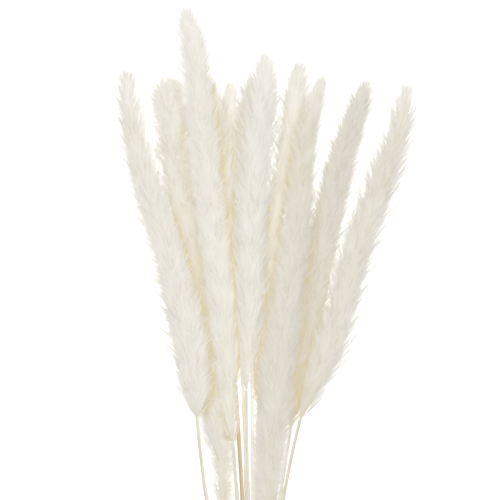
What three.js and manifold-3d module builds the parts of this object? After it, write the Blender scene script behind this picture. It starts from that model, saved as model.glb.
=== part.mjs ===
// A tied bunch of eleven stalks of bleached pampas grass, lying on a table with its plumes fanned out.
// Each stalk is a bare stem with a feathery plume on its upper half. Twine holds the stems together.
// Millimetres. X runs to the right as seen from above, Y from the tie towards the tips, Z up from the table.
import * as THREE from "three";
import { mergeVertices } from "three/addons/utils/BufferGeometryUtils.js";
import Module from "manifold-3d";

const wasm = await Module();
wasm.setup();

// Stems
const CUT_END_Y = -88; // where the stems are cut, behind the tie
const CUT_UNEVEN = 7; // how much one stem's cut end differs from the next
const STEM_RADIUS_CUT = 1.65; // at the cut end
const STEM_RADIUS_TOP = 1.5; // where the plume starts
const STEM_SIDES = 6;
const STEM_STEP = 45; // spacing of the rings along a stem
const JOINT_SWELL = 0.35; // a grass stem is a little thicker at its joints
const JOINT_HALF = 1.8;
const LOW_JOINT_Y = -46;
const HIGH_JOINT_Y = 112;
const SHEATH_SWELL = 0.4; // the dried leaf sheath that wraps the stem above its upper joint
const SHEATH_LENGTH = 62;
const JOINT_SPREAD = 14; // how much the joints' places differ from stem to stem
const FLARE_X = 1.3; // how far the cut ends spread, as a share of their distance from the tie's middle
const FLARE_Z = 0.5;

// Tie
const TIE_X = 2;
const TIE_Z = 6.9;
const TWINE_RADIUS = 1;
const TWINE_SIDES = 6;
const TIE_TURNS = 4;
const TIE_STEPS = 14; // points along each turn
const TIE_PITCH = 2.25; // from one turn to the next
const TIE_STOPS = [-14, -5, 0, 5, 14, 32]; // rings of the stems where they bend through the tie
const KNOT_LOOP = 1.9; // radius of each of the two loops that cross in the knot
const KNOT_STEPS = 8;
const KNOT_STRETCH = 1.25; // each loop is longer than it is wide
const KNOT_TILT = [0.75, 0.4, 0.5]; // radians, mirrored for the second loop
const KNOT_RISE = 0.5; // the knot's middle above the turns
const TAIL_LENGTH = 15;
const TAIL_STEPS = 7;
const TAIL_DROOP = 3.2; // a cut end hangs this far below the knot

// Plumes
const TUFTS_ROUND = 8; // tufts side by side round a plume
const ROW_SPACING = 11.5; // from one row of tufts to the next
const TUFT_LEAN = 28; // how far a tuft's tip lies beyond its root, towards the plume's tip
const BASE_LEAN = 6; // the first tufts stand out more, so a plume starts blunt
const LEAN_GAIN = 0.7; // how fast the lean grows with the distance from the plume's base
const TUFT_UNEVEN = 0.13; // how much one tuft's length and lean differ from the next
const TUFT_SHIFT = 0.24; // how far a tuft strays sideways, as a share of the space between two
const PLUME_SEED = 1100;
const CORE_SHARE = 0.4; // the core's radius as a share of the plume's
const LEAST_CORE = 1.5; // the core's radius where the plume is slimmest
const LAST_ROW = 15; // from the last row of tufts to the plume's tip
const TIP_REACH_LEAST = 0.8; // the last tufts end between here and the tip, as shares of the way left to it

const CURVE_STEPS = 600; // short straight steps that a stalk's middle line is looked up on
const BEND_STEP = 0.04; // how finely a tuft is bent back, as a share of its reach
const MOST_BENT = 0.1;
const SEAT_GAP = 0.3; // between pieces that touch
const PLUME_GAP = 0.7; // half the space between two plumes that press together
const STEM_CLEAR = 2.6; // from a stem's surface to a neighbour's tufts

// One entry a stalk: its place in the tie as [x, z] from the tie's middle, a point [x, y, z] that its bare
// stem bows through where it isn't straight, how long its leaf sheath is where it is longer than the others',
// and the plume's middle line from its base to its tip, each point as [x, y, z, the plume's radius there].
const STALKS = [
  {
    name: "01", // left edge
    tie: [-6.8, 0],
    bow: [-39.5, 163, 18],
    line: [
      [-48, 236, 25, 7], [-49, 254, 26, 14], [-52, 285, 27, 17], [-57, 315, 28, 18], [-64, 345, 29, 17],
      [-72, 378, 29, 15.5], [-82, 410, 28, 15.5], [-91, 437, 27, 14.5], [-99.5, 465, 25, 12.5],
      [-107, 495, 23, 10.5], [-111, 525, 21, 9], [-113, 547, 20, 6],
    ],
  },
  {
    name: "02", // beneath 01
    tie: [-5.4, -3.5],
    line: [
      [-22, 140, 8, 3], [-25, 165, 9, 7], [-25, 192, 9, 8], [-29, 222, 10, 13], [-41, 282, 10, 12],
      [-49, 342, 10, 13], [-56, 402, 10, 13.5], [-62.5, 437, 10, 14], [-68, 470, 10, 14],
      [-72.5, 505, 10, 14.5], [-75, 530, 10, 14], [-76, 545, 10, 9],
    ],
  },
  {
    name: "03", // the tallest
    tie: [-4.2, 3.5],
    line: [
      [-15.5, 214, 35, 4], [-17, 232, 38, 7], [-18.5, 257, 42, 8.5], [-20, 284, 46, 10],
      [-23.5, 327, 51, 12.5], [-29, 372, 54, 14], [-34, 418, 57, 14], [-39, 460, 58, 14],
      [-43, 500, 58, 13.5], [-48, 552, 55, 13], [-52, 580, 53, 11.5], [-56, 596, 51, 9], [-57, 605, 50, 5],
    ],
  },
  {
    name: "04",
    tie: [-2.4, 0],
    sheath: 142, // a long one, still wrapped round the stem
    line: [
      [-13, 266, 24, 4], [-14.5, 285, 26, 9], [-17.5, 333, 29, 12], [-22, 392, 31, 12], [-27, 450, 33, 12],
      [-32, 500, 35, 10.5], [-36, 527, 36, 8.5], [-37.5, 540, 37, 5],
    ],
  },
  {
    name: "05", // middle of the lowest layer
    tie: [-1.8, -3.5],
    line: [
      [-8, 290, 9, 4], [-10, 312, 9, 9], [-13, 370, 9, 11], [-15, 414, 9, 11], [-17, 462, 9, 10.5],
      [-18, 500, 9, 10], [-18, 525, 9, 8.5], [-18, 537, 9, 5],
    ],
  },
  {
    name: "06", // middle of the top layer
    tie: [-0.2, 3.5],
    line: [
      [-3.5, 262, 44, 4], [-3, 280, 47, 6.5], [-1.5, 304, 51, 9.5], [0, 335, 55, 12.5], [0, 372, 59, 13.5],
      [2, 432, 62, 14.5], [5, 470, 63, 15], [8, 500, 63, 15.5], [10.5, 520, 62, 14.5], [12, 536, 61, 12],
      [13.5, 550, 61, 7.5], [14.5, 560, 60, 3.5],
    ],
  },
  {
    name: "07",
    tie: [2, 0],
    line: [
      [1.5, 298, 31, 4], [1, 318, 33, 9], [0.5, 360, 35, 11], [0, 423, 38, 11], [-0.5, 470, 40, 10.5],
      [0, 505, 41, 9.5], [1, 528, 42, 7.5], [2, 540, 42, 4.5],
    ],
  },
  {
    name: "08",
    tie: [1.8, -3.5],
    line: [
      [8, 246, 9, 4], [8, 264, 10, 9], [10, 312, 11, 13], [14, 357, 14, 13], [19, 402, 16, 12.5],
      [26, 436, 18, 12], [32, 462, 19, 12], [36.5, 492, 21, 12], [40.5, 522, 24, 12], [43, 541, 26, 10.5],
      [44.5, 556, 27, 6],
    ],
  },
  {
    name: "09", // the longest plume
    tie: [4, 3.5],
    line: [
      [14, 118, 20, 4], [15, 140, 23, 9], [15, 165, 26, 13], [16.5, 194, 30, 15], [19, 222, 33, 16.5],
      [22, 250, 36, 17], [25, 285, 40, 17], [29, 312, 42, 17], [34, 350, 45, 15.5], [40, 390, 48, 14],
      [45, 432, 50, 12.5], [48, 465, 50, 11.5], [52.5, 495, 49, 10], [60, 523, 47, 8], [65.5, 541, 45, 4],
    ],
  },
  {
    name: "10", // right side of the lowest layer
    tie: [5.4, -3.5],
    line: [
      [37, 226, 9, 4], [39, 244, 9, 10], [45, 279, 10, 14], [54, 329, 11, 15], [62, 375, 11, 15.5],
      [69, 408, 11, 15.5], [74.5, 432, 11, 15.5], [81.5, 462, 11, 15], [90.5, 492, 11, 13.5],
      [99.5, 520, 11, 11], [105.5, 541, 10, 6],
    ],
  },
  {
    name: "11", // right edge
    tie: [6.6, 0],
    bow: [30.5, 163, 17],
    line: [
      [45.5, 234, 23, 4], [50, 247, 24, 8], [56, 262, 24, 11.5], [66, 284, 26, 14.5], [75.5, 312, 27, 15],
      [85, 342, 27, 14], [92, 372, 27, 14.5], [101.5, 402, 27, 14.5], [113, 432, 26, 14.5],
      [123.5, 462, 25, 13.5], [134, 492, 23, 10.5], [140, 517, 20, 7.5], [142, 533, 18, 4],
    ],
  },
];

// A repeatable draw from 0 to 1.
function seeded(seed) {
  let state = seed * 2654435761;
  return () => {
    state = (state + 0x6d2b79f5) | 0;
    let mixed = Math.imul(state ^ (state >>> 15), state | 1);
    mixed ^= mixed + Math.imul(mixed ^ (mixed >>> 7), mixed | 61);
    return ((mixed ^ (mixed >>> 14)) >>> 0) / 4294967296;
  };
}

// The last entry of a list before a test first holds, and the one after it.
function spanAround(list, test) {
  const found = list.findIndex(test);
  const after = THREE.MathUtils.clamp(found < 0 ? list.length - 1 : found, 1, list.length - 1);
  return [list[after - 1], list[after]];
}

// The stalk's middle line, from its cut end through the tie to the plume's tip, looked up by y.
class Stalk {
  constructor({ name, tie, bow, line, sheath = SHEATH_LENGTH }, index) {
    const random = seeded(index + 1);
    this.name = name;
    this.radii = line.map(([, y, , radius]) => [y, radius]);
    this.endY = CUT_END_Y + CUT_UNEVEN * (2 * random() - 1);
    this.jointShift = JOINT_SPREAD * (2 * random() - 1);
    this.sheathLength = sheath;
    this.baseY = line[0][1];
    this.tipY = line.at(-1)[1];
    const curve = new THREE.CatmullRomCurve3(
      [
        [TIE_X + tie[0] * (1 + FLARE_X), this.endY, TIE_Z + tie[1] * (1 + FLARE_Z)],
        [TIE_X + tie[0], 0, TIE_Z + tie[1]],
        ...(bow ? [bow] : []),
        ...line,
      ].map(([x, y, z]) => new THREE.Vector3(x, y, z)),
      false,
      "centripetal",
    );
    this.points = curve.getPoints(CURVE_STEPS);
  }

  centre(y) {
    const [a, b] = spanAround(this.points, (p) => p.y >= y);
    const share = (y - a.y) / (b.y - a.y);
    return new THREE.Vector3(a.x + (b.x - a.x) * share, y, a.z + (b.z - a.z) * share);
  }

  plumeRadius(y) {
    const [[from, low], [to, high]] = spanAround(this.radii, ([at]) => at >= y);
    return THREE.MathUtils.mapLinear(THREE.MathUtils.clamp(y, from, to), from, to, low, high);
  }

  stemRadius(y) {
    const plain = THREE.MathUtils.mapLinear(y, this.endY, this.baseY, STEM_RADIUS_CUT, STEM_RADIUS_TOP);
    const atJoint = this.joints().some((joint) => Math.abs(joint - y) < 0.1);
    const above = y - this.joints()[1];
    const sheath = above > 0 && above <= this.sheathLength ? SHEATH_SWELL : 0;
    return plain + (atJoint ? JOINT_SWELL : sheath);
  }

  joints() {
    return [LOW_JOINT_Y + this.jointShift, HIGH_JOINT_Y + this.jointShift].filter((y) => y < this.baseY - 10);
  }
}

const stalks = STALKS.map((stalk, index) => new Stalk(stalk, index));

function ringPoint(centre, angle, radius) {
  const across = new THREE.Vector3(Math.cos(angle), 0, Math.sin(angle));
  return across.multiplyScalar(radius).add(centre);
}

// True where the point is in the stalk's own share of the space: clear of every other stem, and nearer to its
// own middle line than to a neighbouring plume's, each measured against the plume's radius there.
function isFree(point, own) {
  const ownCentre = own.centre(point.y);
  const ownShare = (point.distanceTo(ownCentre) + PLUME_GAP) / Math.max(own.plumeRadius(point.y), 2);
  return stalks.every((other) => {
    if (other === own || point.y > other.tipY + 2) return true;
    const distance = point.distanceTo(other.centre(point.y));
    if (point.y < other.baseY) return distance > other.stemRadius(point.y) + STEM_CLEAR;
    return ownShare <= (distance - PLUME_GAP) / Math.max(other.plumeRadius(point.y), 2);
  });
}

// A tuft that would reach into a neighbour is bent back towards its own middle line.
function bentClear(point, own) {
  const centre = own.centre(point.y);
  for (let share = 1; share > MOST_BENT; share -= BEND_STEP) {
    const moved = centre.clone().lerp(point, share);
    if (isFree(moved, own)) return moved;
  }
  return centre.clone().lerp(point, MOST_BENT);
}

function solidFrom(vertices, triangles) {
  const build = (order) =>
    new wasm.Manifold(
      new wasm.Mesh({
        numProp: 3,
        vertProperties: new Float32Array(vertices.flatMap((v) => v.toArray())),
        triVerts: new Uint32Array(triangles.flatMap(order)),
      }),
    );
  const solid = build((t) => t);
  return solid.volume() > 0 ? solid : build(([a, b, c]) => [a, c, b]);
}

function geometryFrom(solid) {
  const { vertProperties, triVerts, numProp } = solid.getMesh();
  const position = new Float32Array((vertProperties.length / numProp) * 3);
  for (let i = 0; i < position.length / 3; i++) {
    position.set(vertProperties.subarray(i * numProp, i * numProp + 3), i * 3);
  }
  const geometry = new THREE.BufferGeometry();
  geometry.setAttribute("position", new THREE.BufferAttribute(position, 3));
  geometry.setIndex(new THREE.BufferAttribute(triVerts, 1));
  geometry.computeVertexNormals();
  return geometry;
}

const table = new THREE.BoxGeometry(1000, 2000, 100).translate(0, 0, -50);
table.deleteAttribute("normal");
table.deleteAttribute("uv");

// What reaches below the table is pressed flat on it.
function restedOnTable(solid) {
  const { index, attributes } = mergeVertices(table);
  const corners = Array.from({ length: attributes.position.count }, (_, i) =>
    new THREE.Vector3().fromBufferAttribute(attributes.position, i),
  );
  const triangles = Array.from({ length: index.count / 3 }, (_, i) =>
    [0, 1, 2].map((k) => index.getX(3 * i + k)),
  );
  return solid.subtract(solidFrom(corners, triangles));
}

// A closed tube through rings of equal size. Each end is capped, unless the tube joins up with itself.
function tube(rings, joined = false) {
  const sides = rings[0].length;
  const vertices = rings.flat();
  const triangles = [];
  const spans = joined ? rings.length : rings.length - 1;
  for (let k = 0; k < spans; k++) {
    for (let j = 0; j < sides; j++) {
      const [a, b] = [k * sides + j, k * sides + ((j + 1) % sides)];
      const next = ((k + 1) % rings.length) * sides;
      const [c, d] = [next + j, next + ((j + 1) % sides)];
      triangles.push([a, b, d], [a, d, c]);
    }
  }
  if (!joined) {
    const last = (rings.length - 1) * sides;
    for (let j = 1; j < sides - 1; j++) {
      triangles.push([0, j + 1, j], [last, last + j, last + j + 1]);
    }
  }
  return solidFrom(vertices, triangles);
}

// Round twine along a list of points.
function twine(points, joined = false) {
  const rings = points.map((point, k) => {
    const before = joined ? points.at(k - 1) : points[Math.max(k - 1, 0)];
    const after = joined ? points[(k + 1) % points.length] : points[Math.min(k + 1, points.length - 1)];
    const along = after.clone().sub(before).normalize();
    const side = new THREE.Vector3(0, 1, 0).addScaledVector(along, -along.y).normalize();
    const up = along.clone().cross(side);
    return Array.from({ length: TWINE_SIDES }, (_, j) => {
      const angle = (2 * Math.PI * j) / TWINE_SIDES;
      return point
        .clone()
        .addScaledVector(side, TWINE_RADIUS * Math.cos(angle))
        .addScaledVector(up, TWINE_RADIUS * Math.sin(angle));
    });
  });
  return tube(rings, joined);
}

function stemSolid(stalk) {
  const top = stalk.baseY - SEAT_GAP;
  const stops = new Set([stalk.endY, ...TIE_STOPS, top]);
  for (let y = TIE_STOPS.at(-1) + STEM_STEP; y < top - STEM_STEP / 2; y += STEM_STEP) stops.add(y);
  for (const joint of stalk.joints()) [-1, 0, 1].forEach((k) => stops.add(joint + k * JOINT_HALF));
  const sheathEnd = stalk.joints().length > 1 ? stalk.joints()[1] + stalk.sheathLength : top;
  if (sheathEnd < top - 5) [0, 2].forEach((step) => stops.add(sheathEnd + step));
  const rings = [...stops]
    .sort((a, b) => a - b)
    .map((y) =>
      Array.from({ length: STEM_SIDES }, (_, j) =>
        ringPoint(stalk.centre(y), (2 * Math.PI * j) / STEM_SIDES, stalk.stemRadius(y)),
      ),
    );
  return restedOnTable(tube(rings));
}

// A plume is a slim core whose whole surface rises into tufts that lean towards the tip, in staggered rows.
function plumeSolid(stalk, index) {
  const random = seeded(PLUME_SEED + index);
  const uneven = () => 1 + TUFT_UNEVEN * (2 * random() - 1);
  const rows = Math.round((stalk.tipY - LAST_ROW - stalk.baseY) / ROW_SPACING);
  const spacing = (stalk.tipY - LAST_ROW - stalk.baseY) / rows;
  const vertices = [];
  const lattice = [];
  for (let k = 0; k <= rows; k++) {
    const y = stalk.baseY + k * spacing;
    const radius = Math.max(CORE_SHARE * stalk.plumeRadius(y), LEAST_CORE);
    lattice.push(
      Array.from({ length: TUFTS_ROUND }, (_, j) => {
        const angle = ((j + (k % 2) / 2) * 2 * Math.PI) / TUFTS_ROUND;
        vertices.push(bentClear(ringPoint(stalk.centre(y), angle, radius), stalk));
        return vertices.length - 1;
      }),
    );
  }
  const base = vertices.push(stalk.centre(stalk.baseY)) - 1;
  const tip = vertices.push(stalk.centre(stalk.tipY)) - 1;
  const triangles = [];
  for (let k = 0; k <= rows; k++) {
    const y = stalk.baseY + k * spacing;
    for (let j = 0; j < TUFTS_ROUND; j++) {
      const next = (j + 1) % TUFTS_ROUND;
      const middle = k % 2 ? next : j;
      const [left, right] = [lattice[k][j], lattice[k][next]];
      const front = k < rows ? lattice[k + 1][middle] : tip;
      if (k === 0) {
        triangles.push([left, right, front], [base, right, left]);
        continue;
      }
      const rear = lattice[k - 1][middle];
      const room = stalk.tipY - y;
      const full = Math.min(TUFT_LEAN, BASE_LEAN + LEAN_GAIN * (y - stalk.baseY)) * uneven();
      const lean = Math.min(full, room * (TIP_REACH_LEAST + (1 - TIP_REACH_LEAST) * random()));
      const angle = ((j + 0.5 + (k % 2) / 2 + TUFT_SHIFT * (random() - 0.5)) * 2 * Math.PI) / TUFTS_ROUND;
      const radius = stalk.plumeRadius(y + lean) * uneven();
      const apex = vertices.push(bentClear(ringPoint(stalk.centre(y + lean), angle, radius), stalk)) - 1;
      triangles.push([rear, right, apex], [right, front, apex], [front, left, apex], [left, rear, apex]);
    }
  }
  return restedOnTable(solidFrom(vertices, triangles));
}

// Where the twine lies at an angle round the stems, drawn tight on the outermost one there.
function twineCentre(angle, y) {
  const outward = new THREE.Vector3(Math.cos(angle), 0, Math.sin(angle));
  const touching = stalks.flatMap((stalk) =>
    [y - TWINE_RADIUS, y, y + TWINE_RADIUS].map((at) =>
      stalk.centre(at).addScaledVector(outward, stalk.stemRadius(at) + SEAT_GAP + TWINE_RADIUS),
    ),
  );
  return touching.reduce((a, b) => (b.dot(outward) > a.dot(outward) ? b : a)).setY(y);
}

// Twine wound round the stems, its two ends crossed in a knot on top and cut short.
function tieSolid() {
  const steps = TIE_TURNS * TIE_STEPS;
  const turns = Array.from({ length: steps + 1 }, (_, k) =>
    twineCentre(Math.PI / 2 + (2 * Math.PI * k) / TIE_STEPS, TIE_PITCH * (k / TIE_STEPS - TIE_TURNS / 2)),
  );
  const top = Math.max(...turns.map((p) => p.z)) + TWINE_RADIUS;
  const knotMiddle = new THREE.Vector3(TIE_X, 0, top + KNOT_RISE);
  const knot = [-1, 1].map((side) => {
    const loop = Array.from({ length: KNOT_STEPS }, (_, k) => {
      const angle = (2 * Math.PI * (k + 0.25)) / KNOT_STEPS;
      const point = new THREE.Vector3(KNOT_STRETCH * Math.cos(angle), Math.sin(angle), 0);
      const [roll, pitch, turn] = KNOT_TILT;
      point.multiplyScalar(KNOT_LOOP).applyEuler(new THREE.Euler(roll * side, pitch, turn * side));
      return point.add(knotMiddle);
    });
    return twine(loop, true);
  });
  const ends = [turns[0], turns.at(-1)].map((start, k) => {
    const side = k ? 1 : -1;
    const tail = [
      start,
      knotMiddle.clone().add(new THREE.Vector3(0, 0.5 * side, 0.2)),
      knotMiddle.clone().add(new THREE.Vector3(0.45 * side * TAIL_LENGTH, -1.5 * side, 0.4)),
      knotMiddle.clone().add(new THREE.Vector3(side * TAIL_LENGTH, -5 * side, -TAIL_DROOP)),
    ];
    return twine(new THREE.CatmullRomCurve3(tail).getPoints(TAIL_STEPS));
  });
  return restedOnTable([...knot, ...ends].reduce((a, b) => a.add(b), twine(turns)));
}

const stemMaterial = new THREE.MeshStandardMaterial({ color: 0xe2d3ab, roughness: 0.5, metalness: 0 });
const plumeMaterial = new THREE.MeshStandardMaterial({ color: 0xf1ebdd, roughness: 0.95, metalness: 0 });
const twineMaterial = new THREE.MeshStandardMaterial({ color: 0xd9c6a0, roughness: 0.9, metalness: 0 });

function piece(name, solid, material) {
  const mesh = new THREE.Mesh(geometryFrom(solid), material);
  mesh.name = name;
  return mesh;
}

const bunch = new THREE.Group();
stalks.forEach((stalk, index) => {
  bunch.add(piece(`stem_${stalk.name}`, stemSolid(stalk), stemMaterial));
  bunch.add(piece(`plume_${stalk.name}`, plumeSolid(stalk, index), plumeMaterial));
});
bunch.add(piece("tie", tieSolid(), twineMaterial));

// The origin is on the table, under the middle of the whole bunch.
const box = new THREE.Box3().setFromObject(bunch, true);
const middle = box.getCenter(new THREE.Vector3());
bunch.position.set(-middle.x, -middle.y, 0);

export default bunch;
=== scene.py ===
"""A tied bunch of eleven stalks of bleached pampas grass, lying on a white table and seen from above.

Sizes are millimetres until a mesh is made, and metres from then on. X runs to the right, Y from the tie
towards the plumes' tips and Z up from the table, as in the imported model.
"""

import logging
import math
from collections.abc import Iterator
from dataclasses import dataclass, field
from enum import Enum

import bmesh
import bpy
import numpy as np
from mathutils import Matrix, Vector
from mathutils.bvhtree import BVHTree

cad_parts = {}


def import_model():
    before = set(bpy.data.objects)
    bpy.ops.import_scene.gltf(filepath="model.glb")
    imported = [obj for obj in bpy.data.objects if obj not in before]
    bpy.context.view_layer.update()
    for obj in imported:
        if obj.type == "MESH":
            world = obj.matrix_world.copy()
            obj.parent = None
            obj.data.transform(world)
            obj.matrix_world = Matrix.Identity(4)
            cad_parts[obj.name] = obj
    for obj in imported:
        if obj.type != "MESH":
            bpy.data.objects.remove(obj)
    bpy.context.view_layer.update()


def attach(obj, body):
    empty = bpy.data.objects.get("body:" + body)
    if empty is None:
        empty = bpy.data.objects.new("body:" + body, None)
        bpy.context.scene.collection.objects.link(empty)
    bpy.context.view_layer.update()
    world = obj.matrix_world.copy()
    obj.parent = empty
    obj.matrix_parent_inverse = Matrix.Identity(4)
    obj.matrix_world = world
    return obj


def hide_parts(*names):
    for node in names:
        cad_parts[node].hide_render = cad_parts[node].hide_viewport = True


log = logging.getLogger("pampas_grass")

MM = 0.001
FULL_TURN = 2 * math.pi
GOLDEN_ANGLE = math.pi * (3 - math.sqrt(5))

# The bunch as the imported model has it, in millimetres from the middle of the tie.
CUT_END_Y = -88
CUT_UNEVEN = 7
STEM_RADIUS_CUT = 1.65
STEM_RADIUS_TOP = 1.5
JOINT_SWELL = 0.35
LOW_JOINT_Y = -46
HIGH_JOINT_Y = 112
JOINT_SPREAD = 14
LAST_JOINT_GAP = 10  # a joint lies at least this far below the plume
SHEATH_SWELL = 0.4
SHEATH_LENGTH = 62
FLARE_X = 1.3
FLARE_Z = 0.5
TIE_X = 2
TIE_Z = 6.9
CURVE_STEPS = 60
SEAT_GAP = 0.3
PLUME_GAP = 0.7
LEAST_RADIUS = 2  # the least radius of a plume that a distance is measured against
NEEDLE_CORNERS = 4
HAIR_GIVE = 3.0  # the height under which hair starts to bend on the table
HARD_GIVE = 0.3  # the same for stems and twine
HAIR_CORNERS = 20  # a hair or a thin branch has fewer corners than this, and a plume's body more

# How hairs differ from one another in the hair tree.
LEAN_RANGE = (0.1, 1.9)  # of the outward lean
LENGTH_RANGE = (0.4, 1.25)  # of the hair's length
LEAST_WIDTH = 0.7  # of the hair's width
STRAND_RARITY = 3.0  # the higher it is, the fewer hairs are wide

# Settings that many nodes share.
COLOURS = {"data_type": "RGBA"}
NUMBERS = {"data_type": "FLOAT"}
VECTORS = {"data_type": "FLOAT_VECTOR"}
ADD = {"operation": "ADD"}
ADD_UP_TO_ONE = {"operation": "ADD", "use_clamp": True}
MULTIPLY = {"operation": "MULTIPLY"}


class Bleach(Enum):
    """How far the bleach took the colour out of a stem."""

    WHITE = "white"
    CREAM = "cream"
    TAN = "tan"


def linear(hex_colour: str) -> tuple[float, float, float, float]:
    """Turns an sRGB hex colour into the linear colour that a shader takes.

    Args:
        hex_colour: six hex digits after a hash.

    Returns:
        Linear red, green, blue and an alpha of 1.
    """
    shares = [int(hex_colour[i : i + 2], 16) / 255 for i in (1, 3, 5)]
    red, green, blue = (c / 12.92 if c <= 0.04045 else ((c + 0.055) / 1.055) ** 2.4 for c in shares)
    return red, green, blue, 1.0


def add_node(
    tree: bpy.types.NodeTree, kind: str, settings: dict | None = None, inputs: dict | None = None
) -> bpy.types.Node:
    """Adds a node to a tree, with its settings and its links.

    Args:
        tree: the node tree.
        kind: Blender's name for the node's type.
        settings: properties of the node and their values.
        inputs: its sockets, by name or number, each with a value, with the socket or the node that feeds it
            (a node by its first output), or with a list of those.

    Returns:
        The new node.
    """
    node = tree.nodes.new(kind)
    for name, value in (settings or {}).items():
        setattr(node, name, value)
    for key, value in (inputs or {}).items():
        for source in value if isinstance(value, list) else [value]:
            source = source.outputs[0] if isinstance(source, bpy.types.Node) else source
            if isinstance(source, bpy.types.NodeSocket):
                tree.links.new(source, node.inputs[key])
            else:
                node.inputs[key].default_value = source
    return node


def new_material(name: str) -> tuple[bpy.types.Material, bpy.types.NodeTree]:
    """Makes a material with an empty node tree.

    Args:
        name: the material's name.

    Returns:
        The material and its tree.
    """
    material = bpy.data.materials.new(name)
    material.use_nodes = True
    material.node_tree.nodes.clear()
    return material, material.node_tree


def add_streaks(
    tree: bpy.types.NodeTree, across: float, along: float, detail: float, roughness: float = 0.5
) -> bpy.types.Node:
    """Adds soft noise that can be drawn out along Y, which the stalks follow.

    Args:
        tree: the material's tree.
        across: millimetres from one streak to the next across the stalks.
        along: the same along them.
        detail: how much finer noise lies in it.
        roughness: how strong that finer noise is.

    Returns:
        The noise, from 0 to 1.
    """
    where = add_node(tree, "ShaderNodeTexCoord").outputs["Object"]
    scale = (1 / (across * MM), 1 / (along * MM), 1 / (across * MM))
    drawn_out = add_node(tree, "ShaderNodeMapping", inputs={"Vector": where, "Scale": scale})
    noise = {"Vector": drawn_out, "Scale": 1.0, "Detail": detail, "Roughness": roughness}
    return add_node(tree, "ShaderNodeTexNoise", inputs=noise)


def draws(seed: int) -> Iterator[float]:
    """Repeatable draws from 0 to 1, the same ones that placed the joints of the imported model.

    Args:
        seed: a whole number.

    Returns:
        An endless generator of draws.
    """
    mask = 0xFFFFFFFF
    state = seed * 2654435761
    while True:
        state = (state + 0x6D2B79F5) & mask
        mixed = ((state ^ (state >> 15)) * (state | 1)) & mask
        mixed ^= (mixed + (mixed ^ (mixed >> 7)) * (mixed | 61)) & mask
        yield (mixed ^ (mixed >> 14)) / 2**32


def smooth_curve(points: list, steps: int) -> np.ndarray:
    """A centripetal Catmull-Rom curve through points.

    Args:
        points: the points to pass through, in order.
        steps: how many short steps each span is cut into.

    Returns:
        The points along the curve, one a row.
    """
    inner = np.array(points, float)
    ends = np.vstack([2 * inner[0] - inner[1], inner, 2 * inner[-1] - inner[-2]])
    share = np.linspace(0, 1, steps, endpoint=False)[:, None]
    made = []
    for before, start, stop, after in zip(ends, ends[1:], ends[2:], ends[3:]):
        pairs = ((before, start), (start, stop), (stop, after))
        first, span, last = (np.sum((b - a) ** 2) ** 0.25 for a, b in pairs)
        leave = ((start - before) / first - (stop - before) / (first + span)) * span + (stop - start)
        arrive = (stop - start) - ((after - start) / (span + last) - (after - stop) / last) * span
        cubic = 2 * start - 2 * stop + leave + arrive
        square = -3 * start + 3 * stop - 2 * leave - arrive
        made.append(start + leave * share + square * share**2 + cubic * share**3)
    return np.vstack([*made, inner[-1:]])


def resampled(points: np.ndarray, spacing: float) -> np.ndarray:
    """Points at an even spacing along a line.

    Args:
        points: the line's points, one a row.
        spacing: about how far apart the new points are.

    Returns:
        The new points, with the line's two ends among them.
    """
    lengths = np.concatenate([[0], np.cumsum(np.linalg.norm(np.diff(points, axis=0), axis=1))])
    stops = np.linspace(0, lengths[-1], max(2, round(lengths[-1] / spacing) + 1))
    return np.column_stack([np.interp(stops, lengths, points[:, k]) for k in range(3)])


def smooth_step(low: float, high: float, value: np.ndarray) -> np.ndarray:
    """A soft step from 0 at low to 1 at high."""
    share = np.clip((value - low) / (high - low), 0, 1)
    return share * share * (3 - 2 * share)


def unit(vectors: np.ndarray, least: float = 0.01) -> np.ndarray:
    """Vectors brought to a length of 1, where they are longer than the least."""
    return vectors / np.maximum(np.linalg.norm(vectors, axis=-1, keepdims=True), least)


def angles(sides: int) -> np.ndarray:
    """Even angles round a ring."""
    return np.linspace(0, FULL_TURN, sides, endpoint=False)


def spokes(angle: np.ndarray) -> np.ndarray:
    """The direction of each angle round the Y axis."""
    return np.stack([np.cos(angle), np.zeros_like(angle), np.sin(angle)], axis=-1)


def on_table(points: np.ndarray, give: float) -> np.ndarray:
    """Presses what reaches below the table flat on it.

    Args:
        points: places in millimetres, one a row.
        give: the height under which they start to bend, in millimetres.

    Returns:
        The same points, none of them below the table.
    """
    rested = points.copy()
    low = rested[:, 2] < give
    rested[low, 2] = give * np.exp((rested[low, 2] - give) / give)
    return rested


def mesh_of(name: str, points: np.ndarray, faces: list, edges: list | None = None) -> bpy.types.Mesh:
    """A mesh in metres from points in millimetres.

    Args:
        name: the mesh's name.
        points: its vertices, one a row.
        faces: the vertices of each face.
        edges: the vertices of each loose edge.

    Returns:
        The mesh.
    """
    mesh = bpy.data.meshes.new(name)
    mesh.from_pydata((np.asarray(points) * MM).tolist(), edges or [], faces)
    mesh.update()
    return mesh


def write_attributes(mesh: bpy.types.Mesh, values: dict[str, np.ndarray]) -> None:
    """Stores numbers or vectors on each vertex.

    Args:
        mesh: the mesh.
        values: each attribute's name, and its value for each vertex.
    """
    for name, rows in values.items():
        kind, key = ("FLOAT_VECTOR", "vector") if rows.ndim == 2 else ("FLOAT", "value")
        attribute = mesh.attributes.new(name, kind, "POINT")
        attribute.data.foreach_set(key, np.ascontiguousarray(rows, np.float32).ravel())


def read_numbers(items: bpy.types.bpy_prop_collection, name: str, width: int = 1) -> np.ndarray:
    """Reads a property of each item of a mesh.

    Args:
        items: the mesh's vertices, normals or attribute values.
        name: the property.
        width: how many numbers each item has.

    Returns:
        The numbers, with a row for each item where it has several.
    """
    flat = np.zeros(len(items) * width, np.float32)
    items.foreach_get(name, flat)
    return flat.reshape(-1, width).astype(float) if width > 1 else flat


def places(mesh: bpy.types.Mesh) -> np.ndarray:
    """A mesh's vertices in millimetres, one a row."""
    return read_numbers(mesh.vertices, "co", 3) / MM


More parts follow.
